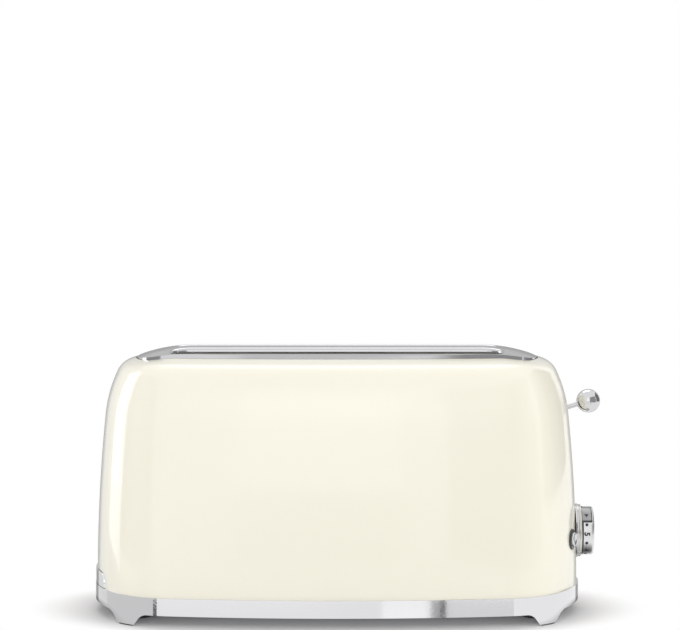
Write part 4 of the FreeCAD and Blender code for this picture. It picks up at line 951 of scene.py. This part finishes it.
def rolling_tool(side):
    """What a roller takes off round one slot: a bar less the round that is left, led round the edge."""
    half, wide = SLOT_HALF - SLOT_CORNER, SLOT_WIDE - SLOT_CORNER
    middle, low = side * SLOT_Y, CROWN_TOP - LIP_RADIUS
    edge = middle + SLOT_WIDE
    tool = new_point("roller", (MIDDLE + half, edge - ROLL_REACH, low))
    pull((0, ROLL_REACH, 0))
    spin((MIDDLE + half, edge + LIP_RADIUS, low), -math.pi / 2, 10, axis=(1, 0, 0))
    pull((0, 0, ROLL_REACH))
    pull((0, -ROLL_REACH - LIP_RADIUS, 0))
    pull((0, 0, -ROLL_REACH - LIP_RADIUS))
    pick_all()
    weld()
    corners = ((-1, 1), (-1, -1), (1, -1), (1, 1))
    steps = ((-2 * half, 0, 0), (0, -2 * wide, 0), (2 * half, 0, 0), (0, 2 * wide, 0))
    for (right, rear), step in zip(corners, steps):
        pull(step)
        spin((MIDDLE + right * half, middle + rear * wide, 0), math.pi / 2, 12)
    done()
    for point in tool.data.vertices:
        point.co.z -= crown_fall(point.co)
    return clean(tool, reach=1e-5)


# %% Cut the top panel out of its slabs
def panel_block(inset):
    return plan_block("plan", inset, CROWN_TOP - PLAN_DEEP, CROWN_TOP + SLAB_SPARE, 1.4, PANEL_SQUEEZE)


def cut_closed(piece, tool, how="DIFFERENCE"):
    """Boolean between two closed forms, with the solver that gives the same crowned sheet every time."""
    return combine(piece, tool, how, solver="MANIFOLD")


def make_panel():
    panel = crown_slab("top_plate", 0, PANEL_RIM)
    cut_closed(panel, panel_block(PANEL_EDGE), "INTERSECT")
    hollow = crown_slab("hollow", PANEL_SHEET, PANEL_RIM + 10 * MM)
    cut_closed(hollow, panel_block(PANEL_EDGE + PANEL_SHEET), "INTERSECT")
    for side in (-1, 1):
        cut_closed(hollow, bread_slot(side, LIP_RADIUS + PANEL_SHEET))
    cut_closed(panel, hollow)
    for side in (-1, 1):
        cut_closed(panel, bread_slot(side))
        cut_closed(panel, rolling_tool(side))
    soften(panel, PANEL_SOFT, 2, 50)
    shade(panel, 40)
    modify(panel, "WEIGHTED_NORMAL", keep_sharp=True, weight=100)
    return panel


panel = make_panel()
dress(panel, "polished_steel", "chassis", "top_panel")


# %% [markdown]
# ## The silver base ring and its legs
# A cast ring carries the shell and ends in four short legs that grow out of its lower edge with a small
# curve. Only a few steps of the plan make the ring, and the legs are a thicker piece of the same plan. The
# stretches between the legs are cut away with one tool, whose corners are rounded like a milling cutter's.

# %% Ring
RING_WALL, RING_FLANGE, FLANGE_SHEET = 2.5 * MM, 9 * MM, 1.5 * MM
LEG_INSIDE, LEG_WIDTH, LEG_SPREAD, LEG_BLEND = 161.5 * MM, 12 * MM, 3 * MM, 4 * MM
LEG_TOP, RING_SOFT = 12 * MM, 0.5 * MM


def make_ring():
    """Wall and top flange: the plan is stepped inwards and up, and the outside wall closes it."""
    ring = draw_plan("ring", 0, RING_BOTTOM, fine=1.6)
    edit(ring, "FACE")
    pick_all()
    step_in(RING_WALL, 0)
    pull((0, 0, RING_TOP - FLANGE_SHEET - RING_BOTTOM))
    step_in(RING_FLANGE - RING_WALL, 0)
    pull((0, 0, FLANGE_SHEET))
    bpy.ops.mesh.delete(type="FACE")
    edit(ring, "EDGE")
    pick(ring, lambda a, b: max(a.z, b.z) < RING_BOTTOM + NEAR
         and plan_depth(a) < MM and plan_depth(b) < MM, "EDGE")
    pull((0, 0, RING_TOP - RING_BOTTOM))
    bpy.ops.mesh.select_all(action="DESELECT")
    bpy.ops.mesh.select_non_manifold()
    bpy.ops.mesh.bridge_edge_loops()
    done()
    return clean(ring)


def plan_depth(place):
    """How far a point lies inside the body's outline."""
    x, y = abs(place.x - MIDDLE), abs(place.y)
    end_line = CORNER_Y * (x - END_CENTRE) / (CORNER_X - END_CENTRE)
    if math.atan2(y - CORNER_Y, x - CORNER_X) < END_TURN or y < end_line:
        return END_RADIUS - math.hypot(x - END_CENTRE, y)
    if math.atan2(x, FRONT_CENTRE + y) < FRONT_TURN:
        return FRONT_RADIUS - math.hypot(x, FRONT_CENTRE + y)
    return CORNER_RADIUS - math.hypot(x - CORNER_X, y - CORNER_Y)


# %% Legs
def make_legs():
    """A thicker band of the plan, cut away between and beside the legs."""
    legs = plan_block("legs", 0, LEG_FOOT, LEG_TOP, fine=1.6)
    combine(legs, plan_block("inside", RING_FLANGE, LEG_FOOT - MM, LEG_TOP + MM))
    spread = LEG_SPREAD + LEG_BLEND
    inner, outer, beyond = LEG_INSIDE - spread, LEG_INSIDE + LEG_WIDTH + spread, HALF_LENGTH + 5 * MM
    for left, right in ((-inner, inner), (outer, beyond), (-beyond, -outer)):
        # The tool is drawn at the ring's lower edge and its foot is spread to the leg's narrow end.
        tool = block("tool", (MIDDLE + left, -HALF_DEPTH - MM, LEG_FOOT - MM),
                     (MIDDLE + right, HALF_DEPTH + MM, RING_BOTTOM))
        for end, way in ((left, -1), (right, 1)):
            if abs(end) > HALF_LENGTH:
                continue
            at_end = MIDDLE + end
            edit(tool)
            pick(tool, lambda place: place.z < LEG_FOOT and abs(place.x - at_end) < MM)
            bpy.ops.transform.translate(value=(way * spread, 0, 0))
            done()
            round_edges(tool, lambda a, b: min(a.z, b.z) > RING_BOTTOM - NEAR
                        and max(abs(a.x - at_end), abs(b.x - at_end)) < NEAR, LEG_BLEND, 6)
        combine(legs, tool)
    return legs


ring = make_ring()
legs = make_legs()
combine(ring, legs, "UNION")
soften(ring, RING_SOFT, 3, 50)
shade(ring, 35)
dress(ring, "satin_silver", "chassis", "base_ring")


# %% [markdown]
# ## Turned parts
# The ball, the knob's drum, its bezel and the buttons are all turned: a lathe follows one profile while the
# metal spins. The same works here. One point is extruded along the profile, and the line is spun a full turn
# round the axis. Cylinders with bevels would come close, but a profile gives every groove and round at once.

# %% A lathe
def turned(name, centre, axis, profile, steps=96):
    """Round piece: the profile lists (distance along the axis, radius) from end to end."""
    axis = Vector(axis).normalized()
    across = (UP - axis * UP.dot(axis)).normalized()
    places = [Vector(centre) + axis * along + across * radius for along, radius in profile]
    piece = new_point(name, places[0])
    for here, there in zip(places, places[1:]):
        pull(there - here)
    pick_all()
    bpy.ops.mesh.spin(steps=steps, angle=2 * math.pi, center=centre, axis=axis)
    done()
    return clean(piece, smooth=38)


def arc(along, radius, size, begin, end, steps):
    """Points of a round with its centre at (along, radius); 0 points along the axis and 90 outwards."""
    turns = [math.radians(begin + (end - begin) * step / steps) for step in range(steps + 1)]
    return [(along + size * math.cos(turn), radius + size * math.sin(turn)) for turn in turns]


# %% [markdown]
# ## The lever's ball
# A chromed ball screws on to the end of the lever's rod. It has a small collar where the rod goes in, so it
# isn't a bare sphere. It is turned about the rod's own slanting axis, which puts the collar in the right
# place.

# %% Ball
arm_way = Vector((math.cos(ARM_TURN), 0, math.sin(ARM_TURN)))
COLLAR_RADIUS, ROD_RADIUS = 3.1 * MM, 2.02 * MM
collar_turn = math.degrees(math.acos(COLLAR_RADIUS / BALL_RADIUS)) + 90
ball_profile = arc(0, 0, BALL_RADIUS, 0, collar_turn, 48)
neck = -math.sqrt(BALL_RADIUS ** 2 - COLLAR_RADIUS ** 2)
ball_profile += [(neck + 0.25 * MM, COLLAR_RADIUS - 0.2 * MM), (neck - 0.5 * MM, COLLAR_RADIUS - 0.3 * MM),
                 (neck - 0.6 * MM, ROD_RADIUS + 0.35 * MM), (neck - 0.4 * MM, ROD_RADIUS),
                 (neck + 3 * MM, ROD_RADIUS)]
ball = turned("ball", BALL, arm_way, ball_profile)
dress(ball, "chrome", "lever_carriage", "lever_ball")


# %% [markdown]
# ## The browning knob
# The knob is a drum that is turned about a level axis. It sits in a bezel with two rounded steps, and a thin
# black ring between them is painted shade of the gap there. Numbers and dots run round the drum's rim, and a
# tile with an arrow is the mark that they are read against; its black border is painted shade of the gap round
# it. The numbers are shallow prints on the real thing. Here they are thin raised type, made from text and
# turned into a mesh, so they stay crisp from near.

# %% Bezel and drum
KNOB = Vector((RIGHT_END, 0, KNOB_HEIGHT))
ALONG = Vector((1, 0, 0))
drum_low, drum_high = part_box("knob_drum")
bezel_low, bezel_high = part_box("knob_bezel")
DRUM_RADIUS = (drum_high.z - drum_low.z) / 2
BEZEL_RADIUS = (bezel_high.z - bezel_low.z) / 2
BEZEL_FRONT, DRUM_BACK, DRUM_FRONT = (x - RIGHT_END for x in (bezel_high.x, drum_low.x, drum_high.x))
BEZEL_BACK = wall_x(KNOB_HEIGHT) - RIGHT_END - 0.9 * MM       # a little inside the wall
BEZEL_BORE, SHAFT_BORE = DRUM_RADIUS + 0.6 * MM, 3.6 * MM
STEP, STEP_OUT, STEP_DOWN = 0.9 * MM, 1.9 * MM, MM            # the bezel's lower step: round, depth, drop
LIP_ROUND = 0.65 * MM
bezel_profile = [(BEZEL_BACK, SHAFT_BORE), (BEZEL_BACK, BEZEL_RADIUS - 0.3 * MM)]
bezel_profile += arc(BEZEL_BACK + STEP_OUT, BEZEL_RADIUS - STEP, STEP, 150, 0, 14)
bezel_profile += [(BEZEL_BACK + STEP_OUT + STEP, BEZEL_RADIUS - STEP_DOWN)]
bezel_profile += arc(BEZEL_FRONT - LIP_ROUND, BEZEL_BORE + 0.55 * MM, LIP_ROUND, 140, -30, 14)
bezel_profile += [(BEZEL_FRONT - 0.9 * MM, BEZEL_BORE), (0, BEZEL_BORE), (0, SHAFT_BORE),
                  (BEZEL_BACK, SHAFT_BORE)]
bezel = turned("knob_ring", KNOB, ALONG, bezel_profile)
dress(bezel, "button_silver", "chassis", "knob_bezel", slot="satin_silver")

# Painted shade: a thin black ring on the drum, next to the bezel, stands for the shade in the gap between them.
GAP_BACK, GAP_FRONT = 1.9 * MM, 3.3 * MM
gap_radius = DRUM_RADIUS + 0.02 * MM         # stands over the drum by less than can be seen
gap_profile = [(GAP_BACK, gap_radius - MM), (GAP_BACK, gap_radius), (GAP_FRONT, gap_radius),
               (GAP_FRONT, gap_radius - MM), (GAP_BACK, gap_radius - MM)]
dress(turned("gap_ring", KNOB, ALONG, gap_profile, 128), "black_plastic", "browning_knob")

DRUM_ROUND, DRUM_WALL = 1.7 * MM, 1.8 * MM
drum_profile = [(DRUM_BACK, DRUM_RADIUS - DRUM_WALL), (DRUM_BACK, DRUM_RADIUS - 0.35 * MM),
                (DRUM_BACK + 0.35 * MM, DRUM_RADIUS), (DRUM_FRONT - DRUM_ROUND - 0.9 * MM, DRUM_RADIUS)]
drum_profile += arc(DRUM_FRONT - DRUM_ROUND, DRUM_RADIUS - DRUM_ROUND, DRUM_ROUND, 84, 0, 10)
drum_profile += [(DRUM_FRONT - 0.7 * MM, DRUM_RADIUS - DRUM_ROUND - 1.6 * MM),
                 (DRUM_FRONT - 0.9 * MM, DRUM_RADIUS * 0.5), (DRUM_FRONT - 0.95 * MM, 0)]
drum_profile.reverse()
drum_profile += [(DRUM_FRONT - 2.5 * MM, DRUM_RADIUS - DRUM_WALL), (DRUM_FRONT - 2.5 * MM, 0)]
drum = turned("drum", KNOB, ALONG, drum_profile, 128)
dress(drum, "drum_silver", "browning_knob", "knob_drum", slot="satin_silver")


# %% Index tile in a black border of painted shade
index_low, index_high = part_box("knob_index")
TILE_MIDDLE = math.radians(53.5)             # up from the front
TILE_HALF, TILE_GAP_SHADE = 7.3 * MM, 1.5 * MM
TILE_PROUD, GAP_SHADE_PROUD = 0.38 * MM, 0.08 * MM
PATCH_LOW, PATCH_HIGH = 14 * MM, 25 * MM     # from the knob's axis, well under and over the drum's rim
tile_start, tile_end = index_low.x - RIGHT_END, index_high.x - RIGHT_END


def turn_up(turn, along=0.0):
    """Swings the selection, drawn over the origin, round the knob's axis to a turn up from the front."""
    bpy.ops.transform.rotate(value=turn - math.pi / 2, orient_axis="X", center_override=(0, 0, 0))
    bpy.ops.transform.translate(value=(along, 0, KNOB_HEIGHT))


def drum_patch(name, start_at, end_at, half, height, corner):
    """Patch of the drum's rim with round corners, standing over it by a height."""
    patch = block(name, (RIGHT_END + start_at, -half, PATCH_LOW), (RIGHT_END + end_at, half, PATCH_HIGH))
    round_edges(patch, upright, corner, 5)
    edit(patch)
    pick_all()
    turn_up(TILE_MIDDLE)
    done()
    outside, inside = DRUM_RADIUS + height, DRUM_RADIUS - 0.5 * MM
    begin, end = start_at - MM, end_at + MM
    rim_profile = [(begin, inside), (begin, outside), (end, outside), (end, inside), (begin, inside)]
    return combine(patch, turned("rim", KNOB, ALONG, rim_profile, 180), "INTERSECT")


# Painted shade: the black border round the tile stands for the shaded gap between tile and drum.
tile_gap_shade = drum_patch("index_frame", DRUM_BACK + 0.1 * MM, tile_end + 0.5 * MM, TILE_HALF + TILE_GAP_SHADE,
                         GAP_SHADE_PROUD, MM)
soften(tile_gap_shade, 0.05 * MM, 2, 40)
dress(clean(tile_gap_shade, 30), "black_plastic", "browning_knob")
tile = drum_patch("index_tile", tile_start, tile_end - 0.3 * MM, TILE_HALF, TILE_PROUD, 0.8 * MM)
soften(tile, 0.22 * MM, 3, 40)
dress(clean(tile, 30), "index_tile", "browning_knob", "knob_index")


# %% Marks round the drum
MARK_DEPTH = 0.3 * MM
NUMERAL_SIZE, NUMERAL_FAT, DOT_SIZE = 6.2 * MM, 0.3 * MM, 1.3 * MM
NUMERAL_PROUD, DOT_PROUD, ARROW_PROUD = -0.03 * MM, -0.05 * MM, 0.32 * MM    # a mark's middle over the rim
NUMBER_STEP, FIRST_NUMBER, FIRST_DOT = 45, -1, 21.5           # turns up from the front, in degrees
ARROW_TURN, ARROW_SIZE = 46, 2.1 * MM
marks_at = (DRUM_BACK + DRUM_FRONT) / 2 - 0.6 * MM


def wrap(mark, turn, proud):
    """Lays a flat mark, drawn round the origin, on the drum's rim at a turn."""
    take(mark)
    bpy.ops.object.transform_apply(location=True, rotation=True, scale=True)
    edit(mark)
    pick_all()
    bpy.ops.transform.translate(value=(0, 0, DRUM_RADIUS + proud))
    turn_up(math.radians(turn), RIGHT_END + marks_at)
    done()
    return mark


def numeral(figure, turn):
    """A figure cut from the font, turned so that it reads from the front, and laid on the drum."""
    let_go()
    bpy.ops.object.text_add(location=(0, 0, 0), rotation=(0, 0, 0))
    mark = bpy.context.object
    mark.data.body = figure
    mark.data.size, mark.data.extrude, mark.data.offset = NUMERAL_SIZE, MARK_DEPTH / 2, NUMERAL_FAT
    mark.data.align_x, mark.data.align_y = "CENTER", "CENTER"
    mark.data.resolution_u = 4
    bpy.ops.object.convert(target="MESH")
    mark = bpy.context.object
    edit(mark)
    pick_all()
    bpy.ops.transform.rotate(value=math.pi / 2, orient_axis="Z", center_override=(0, 0, 0))
    done()
    return wrap(mark, turn, NUMERAL_PROUD)


def dot(turn, size=DOT_SIZE, corners=24, proud=DOT_PROUD):
    """Flat round mark; three corners make it an arrow."""
    let_go()
    bpy.ops.mesh.primitive_cylinder_add(vertices=corners, radius=size, depth=MARK_DEPTH,
                                        rotation=(0, 0, math.pi))
    return wrap(start("dot"), turn, proud)


marks = [numeral(figure, FIRST_NUMBER - NUMBER_STEP * place) for place, figure in enumerate("54321")]
marks += [dot(FIRST_DOT - NUMBER_STEP * place) for place in range(6)]
take(*marks)
bpy.ops.object.join()
knob_marks = rename(bpy.context.object, "knob_marks")
dress(clean(knob_marks, 30), "black_plastic", "browning_knob")

arrow = rename(dot(ARROW_TURN, ARROW_SIZE, 3, ARROW_PROUD), "index_arrow")
dress(clean(arrow, 30), "black_plastic", "browning_knob")


# %% [markdown]
# ## Push buttons
# Each button is a small silver cap in a dark surround, and both stand square to the curved wall. They are
# turned parts too. The surround's round shoulder hides the raw edge of the hole.

# %% Buttons and their surrounds
BUTTON_RADIUS, BUTTON_PROUD, BUTTON_ROUND = 5.8 * MM, 3.2 * MM, 0.9 * MM
CAP_DEPTH, STEM_DEPTH, STEM_RADIUS = 4.8 * MM, 9 * MM, 2 * MM
TRIM_RADIUS, TRIM_PROUD, TRIM_ROUND, TRIM_DEPTH = 8.5 * MM, 1.6 * MM, 1.2 * MM, 3 * MM
TRIM_BORE = BUTTON_RADIUS + 0.3 * MM
button_at = KNOB_HEIGHT - 1.5 * MM

trim_profile = [(-TRIM_DEPTH, TRIM_BORE), (-TRIM_DEPTH, TRIM_RADIUS), (TRIM_PROUD - TRIM_ROUND, TRIM_RADIUS)]
trim_profile += arc(TRIM_PROUD - TRIM_ROUND, TRIM_RADIUS - TRIM_ROUND, TRIM_ROUND, 90, 0, 8)
trim_profile += [(TRIM_PROUD - 0.1 * MM, TRIM_BORE + 0.2 * MM), (TRIM_PROUD - 0.4 * MM, TRIM_BORE),
                 (-TRIM_DEPTH, TRIM_BORE)]
cap_profile = [(-STEM_DEPTH, 0), (-STEM_DEPTH, STEM_RADIUS), (-CAP_DEPTH, STEM_RADIUS),
               (-CAP_DEPTH, BUTTON_RADIUS), (BUTTON_PROUD - BUTTON_ROUND, BUTTON_RADIUS)]
cap_profile += arc(BUTTON_PROUD - BUTTON_ROUND, BUTTON_RADIUS - BUTTON_ROUND, BUTTON_ROUND, 90, -25, 10)
cap_profile += [(BUTTON_PROUD - 0.55 * MM, BUTTON_RADIUS - 1.9 * MM), (BUTTON_PROUD - 0.6 * MM, 0)]


def wall_spot(outward):
    """Where a button's axis leaves the wall: the wall's plan is a circle at its end."""
    end_centre = Vector((MIDDLE + END_CENTRE, 0, button_at))
    return end_centre + outward * (wall_x(button_at) - end_centre.x)


for job in ("cancel", "defrost"):
    outward = -Vector(joint(job + "_press")["axis"])
    button, spot = job + "_button", wall_spot(outward)
    trim = turned(button + "_trim", spot, outward, trim_profile, 64)
    dress(trim, "dark_trim", "chassis", button + "_bezel")
    cap = turned(button + "_face", spot, outward, cap_profile, 64)
    dress(cap, "button_silver", job + "_cap", button)
